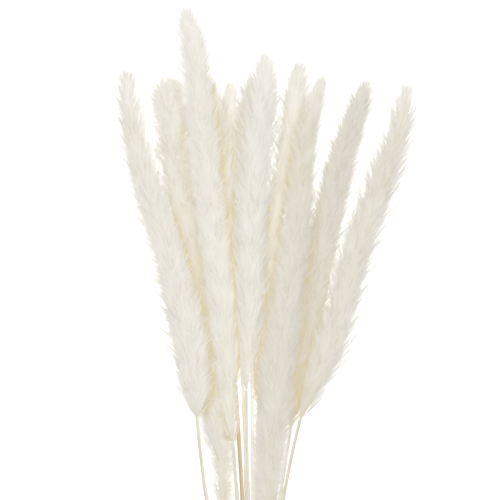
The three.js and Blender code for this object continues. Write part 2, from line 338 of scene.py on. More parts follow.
def place(mesh: bpy.types.Mesh, points: np.ndarray) -> None:
    """Moves a mesh's vertices to points in millimetres."""
    mesh.vertices.foreach_set("co", (points * MM).astype(np.float32).ravel())
    mesh.update()


def swept(rings: np.ndarray) -> list:
    """The faces of a closed tube through rings of points, with a face over each end.

    Args:
        rings: the rings' points as an array of ring, point on the ring, and place.

    Returns:
        The faces, for the rings' points counted ring by ring.
    """
    count, sides = rings.shape[:2]
    ring, side = np.meshgrid(np.arange(count - 1), np.arange(sides), indexing="ij")
    here, beside = ring * sides + side, ring * sides + (side + 1) % sides
    faces = np.stack([here, beside, beside + sides, here + sides], axis=-1).reshape(-1, 4).tolist()
    last = (count - 1) * sides
    return [*faces, list(range(sides))[::-1], list(range(last, last + sides))]


def turned_out(mesh: bpy.types.Mesh) -> bpy.types.Mesh:
    """Turns a closed mesh's faces outwards.

    Args:
        mesh: the mesh, whose faces all point out or all point in.

    Returns:
        The same mesh.
    """
    points = places(mesh)
    volume = 0.0
    for face in mesh.polygons:
        corners = points[list(face.vertices)]
        fan = np.cross(corners[1:-1] - corners[0], corners[2:] - corners[0])
        volume += float((fan @ corners[0]).sum())
    if volume < 0:
        mesh.flip_normals()
    return mesh


def tube_mesh(name: str, rings: np.ndarray, finish: bpy.types.Material) -> bpy.types.Mesh:
    """A smooth closed tube through rings of points, none of it below the table.

    Args:
        name: the mesh's name.
        rings: the rings' points as an array of ring, point on the ring, and place.
        finish: its material.

    Returns:
        The mesh.
    """
    mesh = turned_out(mesh_of(name, on_table(rings.reshape(-1, 3), HARD_GIVE), swept(rings)))
    mesh.polygons.foreach_set("use_smooth", np.ones(len(mesh.polygons), bool))
    mesh.materials.append(finish)
    return mesh


def linked(name: str, data: bpy.types.ID) -> bpy.types.Object:
    """Puts a new object in the scene."""
    made = bpy.data.objects.new(name, data)
    bpy.context.scene.collection.objects.link(made)
    return made


def plain_mesh(name: str, source: bpy.types.Mesh, tree: bpy.types.NodeTree, inputs: dict) -> bpy.types.Mesh:
    """Runs a geometry tree over a mesh and keeps the result as a plain mesh.

    Args:
        name: the new mesh's name.
        source: what the tree starts from. It is removed afterwards.
        tree: the geometry tree.
        inputs: the tree's named inputs and their values.

    Returns:
        The plain mesh.
    """
    carrier = linked(name, source)
    modifier = carrier.modifiers.new("tree", "NODES")
    modifier.node_group = tree
    for item in tree.interface.items_tree:
        if item.name in inputs:
            modifier[item.identifier] = inputs[item.name]
    depsgraph = bpy.context.evaluated_depsgraph_get()
    evaluated = carrier.evaluated_get(depsgraph)
    mesh = bpy.data.meshes.new_from_object(evaluated, preserve_all_data_layers=True, depsgraph=depsgraph)
    mesh.name = name
    # Set Material fills a slot of its own, so the source's slot stays empty and no face uses it.
    empty = [slot for slot, finish in enumerate(mesh.materials) if finish is None]
    for slot in reversed(empty):
        mesh.materials.pop(index=slot)
    carrier.modifiers.clear()
    bpy.data.objects.remove(carrier)
    bpy.data.meshes.remove(source)
    return mesh


def surface_of(pieces: list) -> BVHTree:
    """Gathers the faces of several pieces, to test others against.

    Args:
        pieces: the pieces.

    Returns:
        Their faces, in metres.
    """
    corners, faces = [], []
    for made in pieces:
        start = len(corners)
        corners += [vertex.co.copy() for vertex in made.data.vertices]
        faces += [[start + k for k in face.vertices] for face in made.data.polygons]
    return BVHTree.FromPolygons(corners, faces)


def cut_clear(mesh: bpy.types.Mesh, stems: BVHTree) -> int:
    """Takes out each hair and thin branch that passes through a stem.

    Args:
        mesh: hairs and branches, none of which share a corner.
        stems: the stems' faces.

    Returns:
        How many were taken out.
    """
    faces = [tuple(face.vertices) for face in mesh.polygons]
    found = BVHTree.FromPolygons([vertex.co for vertex in mesh.vertices], faces).overlap(stems)
    if not found:
        return 0
    work = bmesh.new()
    work.from_mesh(mesh)
    work.faces.ensure_lookup_table()
    caught, taken = set(), 0
    for number in sorted({pair[0] for pair in found}):
        if work.faces[number].verts[0] in caught:
            continue
        whole, waiting = set(), list(work.faces[number].verts)
        while waiting:
            corner = waiting.pop()
            if corner not in whole:
                whole.add(corner)
                waiting += [edge.other_vert(corner) for edge in corner.link_edges]
        if len(whole) <= HAIR_CORNERS:
            caught |= whole
            taken += 1
    bmesh.ops.delete(work, geom=list(caught), context="VERTS")
    work.to_mesh(mesh)
    work.free()
    mesh.update()
    return taken


def joined(name: str, meshes: list) -> bpy.types.Mesh:
    """Puts several meshes with the same materials in one.

    Args:
        name: the new mesh's name.
        meshes: the meshes, which are removed afterwards.

    Returns:
        The one mesh.
    """
    parts = [linked(name, mesh) for mesh in meshes]
    kept = parts[0]
    with bpy.context.temp_override(active_object=kept, selected_editable_objects=parts):
        bpy.ops.object.join()
    mesh = kept.data
    bpy.data.objects.remove(kept)
    return mesh


def piece(name: str, mesh: bpy.types.Mesh, node: str) -> bpy.types.Object:
    """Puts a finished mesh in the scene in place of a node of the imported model.

    Args:
        name: the piece's name.
        mesh: its mesh, in place.
        node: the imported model's node that it stands for.

    Returns:
        The piece.
    """
    made = linked(name, mesh)
    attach(made, "root")
    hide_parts(node)
    triangles = sum(len(face.vertices) - 2 for face in mesh.polygons)
    log.info("%s stands for %s with %d triangles", name, node, triangles)
    return made


@dataclass(frozen=True)
class BleachedHair:
    """Bleached plume hair: fine matt cellulose threads, cream at their tips and straw yellow deep inside,
    with painted shade and painted light mixed into its colour.
    """

    tip: str = "#DEDCD7"
    # root: the yellow of the hair's roots, which painted shade deep in and between the plumes also mixes
    # towards
    root: str = "#BCAE82"
    # shade: the grey that the hair's own tone and painted shade mix towards
    shade: str = "#B4AFA3"
    patch: float = 7  # millimetres from one faint streak of colour to the next, across the plume
    patch_length: float = 21  # and along it
    patch_contrast: tuple[float, float] = (0.3, 0.7)
    patch_depth: float = 0.5  # how much of a hair's own tone shows in a streak
    roughness: float = 0.75
    ior: float = 1.53  # cellulose

    def material(self) -> bpy.types.Material:
        """Builds the material, which reads from the mesh how straw-coloured and how grey each hair is,
        painted shade and painted light included.

        Returns:
            The material.
        """
        material, tree = new_material("bleached_hair")
        # straw and dusk hold painted shade and painted light besides the hair's own colour
        straw, tone, dusk = (
            add_node(tree, "ShaderNodeAttribute", {"attribute_name": name}).outputs["Fac"]
            for name in ("straw", "hair_tone", "dusk")
        )
        low, high = self.patch_contrast
        patches = add_streaks(tree, self.patch, self.patch_length, 2.0)
        clear = {0: patches, 1: low, 2: high, 4: self.patch_depth}
        clear_patches = add_node(tree, "ShaderNodeMapRange", inputs=clear)
        both = add_node(tree, "ShaderNodeMath", MULTIPLY, {0: tone, 1: clear_patches})
        dimmed = add_node(tree, "ShaderNodeMath", ADD_UP_TO_ONE, {0: both, 1: dusk})
        cream = {0: dimmed, 6: linear(self.tip), 7: linear(self.shade)}
        creamy = add_node(tree, "ShaderNodeMix", COLOURS, cream).outputs[2]
        colour = add_node(tree, "ShaderNodeMix", COLOURS, {0: straw, 6: creamy, 7: linear(self.root)})
        look = {"Base Color": colour.outputs[2], "Roughness": self.roughness, "IOR": self.ior}
        shader = add_node(tree, "ShaderNodeBsdfPrincipled", inputs=look)
        add_node(tree, "ShaderNodeOutputMaterial", inputs={"Surface": shader})
        return material


@dataclass(frozen=True)
class DriedCulm:
    """A dried grass stem: hard and faintly glossy, with fine fibres along it and paler, papery sheaths."""

    bleach: Bleach
    fibre: float = 0.35  # millimetres between two fibres, coarser than real ones so that they show
    fleck: float = 34  # millimetres between flecks of deeper colour along the stem
    fleck_contrast: tuple[float, float] = (0.15, 0.42)
    fleck_roughness: float = 0.6
    relief: float = 0.35
    relief_height: float = 0.08  # millimetres
    roughness: float = 0.38
    ior: float = 1.53

    def colours(self) -> tuple[str, str, str]:
        """The hex colours of the bare stem, its flecks and its sheath."""
        return {
            Bleach.WHITE: ("#D8D5CC", "#C2BBAC", "#D0CBC0"),
            Bleach.CREAM: ("#CDC8BC", "#B8AE9A", "#C3BBA9"),
            Bleach.TAN: ("#BFB194", "#A39272", "#B0A080"),
        }[self.bleach]

    def material(self) -> bpy.types.Material:
        """Builds the material. Its fibres are drawn out along Y, which the stems follow.

        Returns:
            The material.
        """
        material, tree = new_material(f"dried_culm_{self.bleach.value}")
        bare, fleck, sheathed = (linear(colour) for colour in self.colours())
        sheath = add_node(tree, "ShaderNodeAttribute", {"attribute_name": "sheath"}).outputs["Fac"]
        fibres = add_streaks(tree, self.fibre, self.fleck, 3.0)
        flecks = add_streaks(tree, self.fleck, self.fleck, 4.0, self.fleck_roughness)
        both = add_node(tree, "ShaderNodeMath", MULTIPLY, {0: fibres, 1: flecks})
        low, high = self.fleck_contrast
        spread = add_node(tree, "ShaderNodeMapRange", inputs={0: both, 1: low, 2: high})
        stem = add_node(tree, "ShaderNodeMix", COLOURS, {0: spread, 6: bare, 7: fleck}).outputs[2]
        colour = add_node(tree, "ShaderNodeMix", COLOURS, {0: sheath, 6: stem, 7: sheathed})
        bumps = {"Strength": self.relief, "Distance": self.relief_height * MM, "Height": fibres}
        look = {
            "Base Color": colour.outputs[2],
            "Roughness": self.roughness,
            "IOR": self.ior,
            "Normal": add_node(tree, "ShaderNodeBump", inputs=bumps),
        }
        shader = add_node(tree, "ShaderNodeBsdfPrincipled", inputs=look)
        add_node(tree, "ShaderNodeOutputMaterial", inputs={"Surface": shader})
        return material


@dataclass(frozen=True)
class NaturalTwine:
    """Spun plant-fibre twine: matt, golden beige, with painted shade in the grooves between its strands."""

    strand: str = "#DCC69A"
    # groove: the colour of the painted shade deep in the grooves
    groove: str = "#A98C5B"
    speck: float = 1.2  # millimetres
    speck_share: float = 0.5  # how far the specks darken the strands
    roughness: float = 0.9
    ior: float = 1.53

    def material(self) -> bpy.types.Material:
        """Builds the material, which reads the depth of the grooves from the mesh and paints shade into
        them.

        Returns:
            The material.
        """
        material, tree = new_material("natural_twine")
        groove = add_node(tree, "ShaderNodeAttribute", {"attribute_name": "groove"}).outputs["Fac"]
        specks = add_streaks(tree, self.speck, self.speck, 3.0)
        fainter = add_node(tree, "ShaderNodeMath", MULTIPLY, {0: specks, 1: self.speck_share})
        share = add_node(tree, "ShaderNodeMath", ADD_UP_TO_ONE, {0: groove, 1: fainter})
        mixed = {0: share, 6: linear(self.strand), 7: linear(self.groove)}
        colour = add_node(tree, "ShaderNodeMix", COLOURS, mixed).outputs[2]
        look = {"Base Color": colour, "Roughness": self.roughness, "IOR": self.ior}
        shader = add_node(tree, "ShaderNodeBsdfPrincipled", inputs=look)
        add_node(tree, "ShaderNodeOutputMaterial", inputs={"Surface": shader})
        return material


@dataclass(frozen=True)
class MattTable:
    """A matt white painted table top, without any gloss."""

    paint: str = "#FCFCFC"
    roughness: float = 0.95

    def material(self) -> bpy.types.Material:
        """Builds the material.

        Returns:
            The material.
        """
        material, tree = new_material("matt_table")
        look = {"Base Color": linear(self.paint), "Roughness": self.roughness, "Specular IOR Level": 0.0}
        shader = add_node(tree, "ShaderNodeBsdfPrincipled", inputs=look)
        add_node(tree, "ShaderNodeOutputMaterial", inputs={"Surface": shader})
        return material


@dataclass
class Stalk:
    """One stalk: a middle line from its cut end through the tie to its plume's tip, and its thickness.

    The line's points are x, y, z and the plume's radius, from the plume's base to its tip.
    """

    name: str
    tie: tuple[float, float]
    line: list[tuple[float, float, float, float]]
    bow: tuple[float, float, float] | None = None
    bleach: Bleach = Bleach.CREAM
    straw: float = 0.0  # how much yellower the whole plume is than the others
    # dusk: partly the plume's own tone, partly painted shade that darkens some plumes as a whole
    dusk: float = 0.2  # how much greyer it is
    long_sheath: float = 0.0  # how much further this stem's sheath runs than the others'
    middle: np.ndarray = field(init=False)
    radii: np.ndarray = field(init=False)
    shift: np.ndarray = field(init=False)
    end_y: float = field(init=False)
    base_y: float = field(init=False)
    tip_y: float = field(init=False)
    joints: list[float] = field(init=False)

    def trace(self) -> None:
        """Works out the middle line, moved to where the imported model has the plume's tip."""
        random = draws(int(self.name))
        end_y = CUT_END_Y + CUT_UNEVEN * (2 * next(random) - 1)
        joint_shift = JOINT_SPREAD * (2 * next(random) - 1)
        tie_x, tie_z = self.tie
        points = [
            (TIE_X + tie_x * (1 + FLARE_X), end_y, TIE_Z + tie_z * (1 + FLARE_Z)),
            (TIE_X + tie_x, 0, TIE_Z + tie_z),
            *([self.bow] if self.bow else []),
            *(point[:3] for point in self.line),
        ]
        node = bpy.data.objects[f"plume_{self.name}"].data
        tip = max((vertex.co for vertex in node.vertices), key=lambda place: place.y)
        self.shift = np.array(tip) / MM - np.array(points[-1])
        self.middle = smooth_curve(points, CURVE_STEPS) + self.shift
        self.radii = np.array([(y + self.shift[1], radius) for _, y, _, radius in self.line])
        self.end_y = end_y + self.shift[1]
        self.base_y = self.radii[0, 0]
        self.tip_y = self.radii[-1, 0]
        joints = [y + joint_shift + self.shift[1] for y in (LOW_JOINT_Y, HIGH_JOINT_Y)]
        self.joints = [y for y in joints if y < self.base_y - LAST_JOINT_GAP]

    def centre(self, y: np.ndarray) -> np.ndarray:
        """The middle line's points at given places along Y."""
        x, z = (np.interp(y, self.middle[:, 1], self.middle[:, k]) for k in (0, 2))
        return np.column_stack([x, y, z])

    def plume_radius(self, y: np.ndarray) -> np.ndarray:
        """The plume's radius at given places along Y."""
        return np.interp(y, self.radii[:, 0], self.radii[:, 1])

    def girth(self, y: np.ndarray) -> np.ndarray:
        """The plume's radius at given places along Y, or the least that a distance is measured against."""
        return np.maximum(self.plume_radius(y), LEAST_RADIUS)

    def stem_radius(self, y: np.ndarray) -> np.ndarray:
        """The bare stem's radius at given places along Y, without its joints and sheath."""
        return np.interp(y, [self.end_y, self.base_y], [STEM_RADIUS_CUT, STEM_RADIUS_TOP])


STALKS = [
    Stalk(
        name="01",
        tie=(-6.8, 0),
        straw=-0.12,
        dusk=0.38,
        bow=(-39.5, 163, 18),
        bleach=Bleach.WHITE,
        line=[
            (-48, 236, 25, 7), (-49, 254, 26, 14), (-52, 285, 27, 17), (-57, 315, 28, 18),
            (-64, 345, 29, 17), (-72, 378, 29, 15.5), (-82, 410, 28, 15.5), (-91, 437, 27, 14.5),
            (-99.5, 465, 25, 12.5), (-107, 495, 23, 10.5), (-111, 525, 21, 9), (-113, 547, 20, 6),
        ],
    ),
    Stalk(
        name="02",
        tie=(-5.4, -3.5),
        straw=-0.12,
        dusk=0.49,
        line=[
            (-22, 140, 8, 3), (-25, 165, 9, 7), (-25, 192, 9, 8), (-29, 222, 10, 13), (-41, 282, 10, 12),
            (-49, 342, 10, 13), (-56, 402, 10, 13.5), (-62.5, 437, 10, 14), (-68, 470, 10, 14),
            (-72.5, 505, 10, 14.5), (-75, 530, 10, 14), (-76, 545, 10, 9),
        ],
    ),
    Stalk(
        name="03",
        tie=(-4.2, 3.5),
        straw=-0.05,
        dusk=0.26,
        bleach=Bleach.WHITE,
        line=[
            (-15.5, 214, 35, 4), (-17, 232, 38, 7), (-18.5, 257, 42, 8.5), (-20, 284, 46, 10),
            (-23.5, 327, 51, 12.5), (-29, 372, 54, 14), (-34, 418, 57, 14), (-39, 460, 58, 14),
            (-43, 500, 58, 13.5), (-48, 552, 55, 13), (-52, 580, 53, 11.5), (-56, 596, 51, 9),
            (-57, 605, 50, 5),
        ],
    ),
    Stalk(
        name="04",
        tie=(-2.4, 0),
        straw=-0.12,
        dusk=0.23,
        bleach=Bleach.TAN,
        long_sheath=80,
        line=[
            (-13, 266, 24, 4), (-14.5, 285, 26, 9), (-17.5, 333, 29, 12), (-22, 392, 31, 12),
            (-27, 450, 33, 12), (-32, 500, 35, 10.5), (-36, 527, 36, 8.5), (-37.5, 540, 37, 5),
        ],
    ),
    Stalk(
        name="05",
        tie=(-1.8, -3.5),
        straw=-0.08,
        dusk=0.34,
        line=[
            (-8, 290, 9, 4), (-10, 312, 9, 9), (-13, 370, 9, 11), (-15, 414, 9, 11), (-17, 462, 9, 10.5),
            (-18, 500, 9, 10), (-18, 525, 9, 8.5), (-18, 537, 9, 5),
        ],
    ),
    Stalk(
        name="06",
        tie=(-0.2, 3.5),
        straw=-0.1,
        dusk=0.3,
        bleach=Bleach.WHITE,
        line=[
            (-3.5, 262, 44, 4), (-3, 280, 47, 6.5), (-1.5, 304, 51, 9.5), (0, 335, 55, 12.5),
            (0, 372, 59, 13.5), (2, 432, 62, 14.5), (5, 470, 63, 15), (8, 500, 63, 15.5),
            (10.5, 520, 62, 14.5), (12, 536, 61, 12), (13.5, 550, 61, 7.5), (14.5, 560, 60, 3.5),
        ],
    ),
    Stalk(
        name="07",
        tie=(2, 0),
        straw=-0.1,
        dusk=0.11,
        bleach=Bleach.WHITE,
        line=[
            (1.5, 298, 31, 4), (1, 318, 33, 9), (0.5, 360, 35, 11), (0, 423, 38, 11),
            (-0.5, 470, 40, 10.5), (0, 505, 41, 9.5), (1, 528, 42, 7.5), (2, 540, 42, 4.5),
        ],
    ),
    Stalk(
        name="08",
        tie=(1.8, -3.5),
        straw=-0.1,
        dusk=0.38,
        line=[
            (8, 246, 9, 4), (8, 264, 10, 9), (10, 312, 11, 13), (14, 357, 14, 13), (19, 402, 16, 12.5),
            (26, 436, 18, 12), (32, 462, 19, 12), (36.5, 492, 21, 12), (40.5, 522, 24, 12),
            (43, 541, 26, 10.5), (44.5, 556, 27, 6),
        ],
    ),
    Stalk(
        name="09",
        tie=(4, 3.5),
        dusk=0.49,
        line=[
            (14, 118, 20, 4), (15, 140, 23, 9), (15, 165, 26, 13), (16.5, 194, 30, 15),
            (19, 222, 33, 16.5), (22, 250, 36, 17), (25, 285, 40, 17), (29, 312, 42, 17),
            (34, 350, 45, 15.5), (40, 390, 48, 14), (45, 432, 50, 12.5), (48, 465, 50, 11.5),
            (52.5, 495, 49, 10), (60, 523, 47, 8), (65.5, 541, 45, 4),
        ],
    ),
    Stalk(
        name="10",
        tie=(5.4, -3.5),
        straw=-0.08,
        dusk=0.64,
        line=[
            (37, 226, 9, 4), (39, 244, 9, 10), (45, 279, 10, 14), (54, 329, 11, 15), (62, 375, 11, 15.5),
            (69, 408, 11, 15.5), (74.5, 432, 11, 15.5), (81.5, 462, 11, 15), (90.5, 492, 11, 13.5),
            (99.5, 520, 11, 11), (105.5, 541, 10, 6),
        ],
    ),
    Stalk(
        name="11",
        tie=(6.6, 0),
        dusk=0.41,
        bow=(30.5, 163, 17),
        line=[
            (45.5, 234, 23, 4), (50, 247, 24, 8), (56, 262, 24, 11.5), (66, 284, 26, 14.5),
            (75.5, 312, 27, 15), (85, 342, 27, 14), (92, 372, 27, 14.5), (101.5, 402, 27, 14.5),
            (113, 432, 26, 14.5), (123.5, 462, 25, 13.5), (134, 492, 23, 10.5), (140, 517, 20, 7.5),
            (142, 533, 18, 4),
        ],
    ),
]


def hair_tree() -> bpy.types.NodeTree:
    """Builds the tree that grows hair on a closed body and on thin branches.

    The loose edges of what it is given become thin closed bodies of their own. Hairs stand on those at an
    even spacing and on the faces at an even density. Each hair is a closed three-sided needle that follows
    the flow, leans outwards, clumps with its neighbours and strays a little.

    Returns:
        The tree.
    """
    tree = bpy.data.node_groups.new("grown_hair", "GeometryNodeTree")
    sizes = ("Hair spacing", "Hair density", "Hair length", "Hair width", "Strand share", "Straying")
    habits = ("Clump size", "Clumping", "Outward lean", "Bare share")
    sockets = {
        "NodeSocketGeometry": ("Base",),
        "NodeSocketFloat": (*sizes, *habits),
        "NodeSocketInt": ("Branch sides", "Seed"),
        "NodeSocketMaterial": ("Finish",),
    }
    for kind, names in sockets.items():
        for name in names:
            tree.interface.new_socket(name, in_out="INPUT", socket_type=kind)
    tree.interface.new_socket("Hairy base", in_out="OUTPUT", socket_type="NodeSocketGeometry")
    given = add_node(tree, "NodeGroupInput").outputs
    numbers = ("branch", "along", "thickness", "haired", "hair_size", "loose", "strand")
    kinds = {**dict.fromkeys(numbers, NUMBERS), "flow": VECTORS, "outward": VECTORS}
    base = {
        name: add_node(tree, "GeometryNodeInputNamedAttribute", kind, {"Name": name})
        for name, kind in kinds.items()
    }
    over = {"data_type": "FLOAT", "operation": "GREATER_THAN"}

    on_branch = add_node(tree, "FunctionNodeCompare", over, {0: base["branch"], 1: 0.5})
    split = {"Geometry": given["Base"], "Selection": on_branch}
    apart = add_node(tree, "GeometryNodeSeparateGeometry", {"domain": "POINT"}, split).outputs
    body = apart["Inverted"]
    lines = add_node(tree, "GeometryNodeMeshToCurve", inputs={"Mesh": apart["Selection"]})
    ring = {"Resolution": given["Branch sides"], "Radius": 1.0}
    section = add_node(tree, "GeometryNodeCurvePrimitiveCircle", inputs=ring)
    tube = {"Curve": lines, "Profile Curve": section, "Scale": base["thickness"], "Fill Caps": True}
    branches = add_node(tree, "GeometryNodeCurveToMesh", inputs=tube)

    spaced = {"Curve": lines, "Length": given["Hair spacing"]}
    on_lines = add_node(tree, "GeometryNodeCurveToPoints", {"mode": "LENGTH"}, spaced)
    density = add_node(tree, "ShaderNodeMath", MULTIPLY, {0: given["Hair density"], 1: base["haired"]})
    scattered = {"Mesh": body, "Density": density, "Seed": given["Seed"]}
    on_body = add_node(tree, "GeometryNodeDistributePointsOnFaces", inputs=scattered)
    roots = add_node(tree, "GeometryNodeJoinGeometry", inputs={"Geometry": [on_lines, on_body]})
    later_seed = add_node(tree, "ShaderNodeMath", ADD, {0: given["Seed"], 1: 1.0})
    tone, lean, uneven = (
        add_node(tree, "FunctionNodeRandomValue", NUMBERS, {2: low, 3: high, "Seed": seed}).outputs[1]
        for (low, high), seed in (
            ((0.0, 1.0), given["Seed"]),
            (LEAN_RANGE, given["Seed"]),
            (LENGTH_RANGE, later_seed),
        )
    )
    on_points = {"data_type": "FLOAT", "domain": "POINT"}
    stored = {"Geometry": roots, "Name": "hair_tone", "Value": tone}
    toned = add_node(tree, "GeometryNodeStoreNamedAttribute", on_points, stored)

    all_ways = {0: (-1.0, -1.0, -1.0), 1: (1.0, 1.0, 1.0), "Seed": later_seed}
    stray = add_node(tree, "FunctionNodeRandomValue", VECTORS, all_ways)
    frequency = add_node(tree, "ShaderNodeMath", {"operation": "DIVIDE"}, {0: 1.0, 1: given["Clump size"]})
    clumps = add_node(tree, "ShaderNodeTexNoise", inputs={"Scale": frequency, "Detail": 1.0})
    around_zero = {0: clumps.outputs["Color"], 1: (0.5, 0.5, 0.5)}
    centred = add_node(tree, "ShaderNodeVectorMath", {"operation": "SUBTRACT"}, around_zero)
    straying = add_node(tree, "ShaderNodeMath", MULTIPLY, {0: given["Straying"], 1: base["loose"]})
    leaning_out = add_node(tree, "ShaderNodeMath", MULTIPLY, {0: given["Outward lean"], 1: lean})
    towards = base["flow"]
    for way, share in (
        (stray, straying),
        (centred, given["Clumping"]),
        (base["outward"], leaning_out),
    ):
        leaning = add_node(tree, "ShaderNodeVectorMath", {"operation": "SCALE"}, {0: way, "Scale": share})
        towards = add_node(tree, "ShaderNodeVectorMath", ADD, {0: towards, 1: leaning})
    turned = add_node(tree, "FunctionNodeAlignRotationToVector", {"axis": "Z"}, {"Vector": towards})

    sized = add_node(tree, "ShaderNodeMath", MULTIPLY, {0: given["Hair length"], 1: base["hair_size"]})
    reach = add_node(tree, "ShaderNodeMath", MULTIPLY, {0: sized, 1: uneven})
    rare = add_node(tree, "ShaderNodeMath", {"operation": "POWER"}, {0: tone, 1: STRAND_RARITY})
    wider = add_node(tree, "ShaderNodeMath", MULTIPLY, {0: given["Strand share"], 1: base["strand"]})
    widened = {0: rare, 1: wider, 2: LEAST_WIDTH}
    wide = add_node(tree, "ShaderNodeMath", {"operation": "MULTIPLY_ADD"}, widened)
    width = add_node(tree, "ShaderNodeMath", MULTIPLY, {0: given["Hair width"], 1: wide})
    size = add_node(tree, "ShaderNodeCombineXYZ", inputs={0: width, 1: width, 2: reach})
    cone = {"Vertices": 3, "Radius Top": 0.0, "Radius Bottom": 0.5, "Depth": 1.0}
    needle = add_node(tree, "GeometryNodeMeshCone", {"fill_type": "NGON"}, cone)
    growing = {
        "Points": toned,
        "Selection": add_node(tree, "FunctionNodeCompare", over, {0: base["along"], 1: given["Bare share"]}),
        "Instance": needle,
        "Rotation": turned,
        "Scale": size,
    }
    hairs = add_node(tree, "GeometryNodeInstanceOnPoints", inputs=growing)
    everything = add_node(tree, "GeometryNodeJoinGeometry", inputs={"Geometry": [body, branches, hairs]})
    real = add_node(tree, "GeometryNodeRealizeInstances", inputs={"Geometry": everything})
    soft = add_node(tree, "GeometryNodeSetShadeSmooth", inputs={"Geometry": real})
    dressed = {"Geometry": soft, "Material": given["Finish"]}
    add_node(
        tree, "NodeGroupOutput", inputs={0: add_node(tree, "GeometryNodeSetMaterial", inputs=dressed)}
    )
    return tree


@dataclass
class Plume:
    """One plume: a body of packed hair with branches that leave it all round, and fine hair over all of it.

    Lengths are millimetres. A pair of shares is the least and what is added to it, and a pair that is named
    a reach, a depth or a rise is where an effect starts and where it is full, or the other way round.
    """

    stalk: Stalk
    stalks: list[Stalk]
    hair_stand: float = 4.4  # how far the hair stands out beyond the body
    least_body: float = 0.35  # of the plume's radius
    body_step: float = 3.0
    body_sides: int = 16
    body_end: float = 0.8  # the body's radius at both its ends
    tip_gap: float = 5.0  # from the body's end to the plume's tip
    base_slope: float = 0.6  # how fast the body widens from the stem
    tip_slope: float = 0.75
    relief: float = 0.03  # of the plume's radius, from packed tufts
    tuft_length: float = 24
    tuft_shares: tuple[float, float] = (0.6, 1.4)  # of that length
    tufts_round: int = 3
    tuft_waves: int = 6
    tuft_seed: int = 100  # plus the stalk's number
    branch_spacing: float = 0.5  # along the axis, from one branch to the next
    branch_reach: float = 24  # along the axis, from a branch's root to its tip
    reach_uneven: float = 0.45
    least_reach: float = 3
    room_shares: tuple[float, float] = (0.7, 0.25)  # of what is left up to the tip
    last_root: float = 6  # from the last branch's root to the tip
    short_at_base: float = 0.7  # the first branches' reach, as a share of the others'
    full_after: float = 60
    angle_uneven: float = 0.9
    swirl_uneven: float = 0.35
    branch_points: int = 4
    branch_root: float = 0.6  # from the middle line to a branch's root
    branch_bend: float = 0.9  # below 1, a branch leaves the middle line fast and then runs beside it
    branch_thickness: float = 0.26
    branch_ends: float = 0.35  # the thickness at its ends, against what its middle has more
    branch_belly: float = 0.8  # below 1, it is thickest nearer its root
    branch_sides: int = 3
    branch_hair: float = 0.9  # its hairs' length, as a share of the body's
    least_spread: float = 0.85  # of the plume's radius, where a branch ends
    most_spread: float = 1.5
    spread_bias: float = 1.0  # above 1, more branches end near the least spread than near the most
    flatter_on_top: float = 0.3  # how much less a branch stands out upwards than sideways
    loose_share: float = 0.03
    loose_at_base: float = 0.3
    loose_reach: float = 0.8
    loose_spread: float = 1.55
    hair_spacing: float = 0.92
    hair_density: float = 0.48  # hairs on each square millimetre of the body
    under_share: float = 0.25  # how much of the hair is left on the side that faces the table
    under_branch: float = -0.5  # a branch that points lower than this is on that side
    under_body: float = -0.4  # and so is a part of the body that faces lower than this
    hair_length: float = 12.5
    tip_hair: tuple[float, float] = (0.7, 0.3)  # of that length, from the tip on
    hair_width: float = 0.33
    hair_seed: int = 10  # times the stalk's number
    quick_thinning: int = 3
    strand_share: float = 2.0  # how much wider the widest hairs are, which are strands of several
    branch_strand: float = 0.3  # the same on a branch, as a share of the body's
    straying: float = 0.34
    branch_straying: float = 2.9  # as a share of the body's
    clump_size: float = 9.0
    clumping: float = 0.4
    outward_lean: float = 0.45
    bare_share: float = 0.3
    needle_shading: float = 0.3  # how much of each needle's own shading stays
    mean_tone: float = 0.5
    most_straw: float = 0.8
    # How much yellower and how much greyer the hair looks for each cause: depth, partly its own colour and
    # partly painted shade; its branch's tone; painted shade beside and under other plumes; painted light at
    # its thin sides, taken off.
    inner_straw: float = 0.3
    tone_straw: float = 0.4
    tone_dusk: float = 0.3
    shaded_straw: float = 0.22
    shaded_dusk: float = 0.2
    shade_under_edge_straw: float = 0.8
    shade_under_edge_dusk: float = 0.43
    lit_straw: float = 0.35  # taken off
    lit_dusk: float = 0.23  # taken off
    # Where each cause is felt: seen from above, in radii of the other plume from that plume's middle line.
    crowded_reach: tuple[float, float] = (0.9, 1.5)
    shaded_reach: tuple[float, float] = (1.0, 2.0)
    shade_under_edge_reach: tuple[float, float] = (0.95, 1.25)
    # In millimetres below the other plume's middle line.
    shaded_depth: tuple[float, float] = (-10, 15)
    shade_under_edge_depth: tuple[float, float] = (0, 10)
    # In this plume's own radii from its own middle line. The thin hair at its sides is painted paler:
    # painted light, standing for light through thin hair.
    inner_reach: tuple[float, float] = (0.4, 0.9)
    lit_through: tuple[float, float] = (0.4, 1.15)
    shade_under_edge_rise: tuple[float, float] = (-0.1, 0.6)
    pale_tip: float = 60  # how far below the tip the hair is still paler
    tip_shade_under_edge: tuple[float, float] = (0.6, 0.4)
    tip_dusk: tuple[float, float] = (0.7, 0.3)
    scatter: float = 1.1  # how far light that scatters in the hair evens out its sides
    near_middle: float = 0.1  # hair that is this near the middle line turns outwards less
    tip_taper: float = 18  # how far below the tip the hair starts to close up
    tip_closed: float = 0.9  # how far it is closed at the tip itself
    droop_height: float = 7  # how far the hair on top can stand out beyond the plume's radius
    stem_clear: float = 0.4
    tip_clear: float = 2.0  # past a neighbour's tip, from which on nothing is bent away from it
    least_arm: float = 0.08  # how much of its distance from the middle line bent hair keeps at least
    steps: int = 7

    def others(self) -> list[Stalk]:
        """The other stalks."""
        return [other for other in self.stalks if other is not self.stalk]

    def closing(self, y: np.ndarray) -> np.ndarray:
        """From 1 below the tip's taper to 0 at the tip."""
        return np.clip((self.stalk.tip_y - y) / self.tip_taper, 0, 1)

    def dome(self, y: np.ndarray) -> np.ndarray:
        """How far the plume's round end closes it, from 1 below the tip to little at the tip itself."""
        return np.sqrt(1 - self.tip_closed * (1 - self.closing(y)) ** 2)

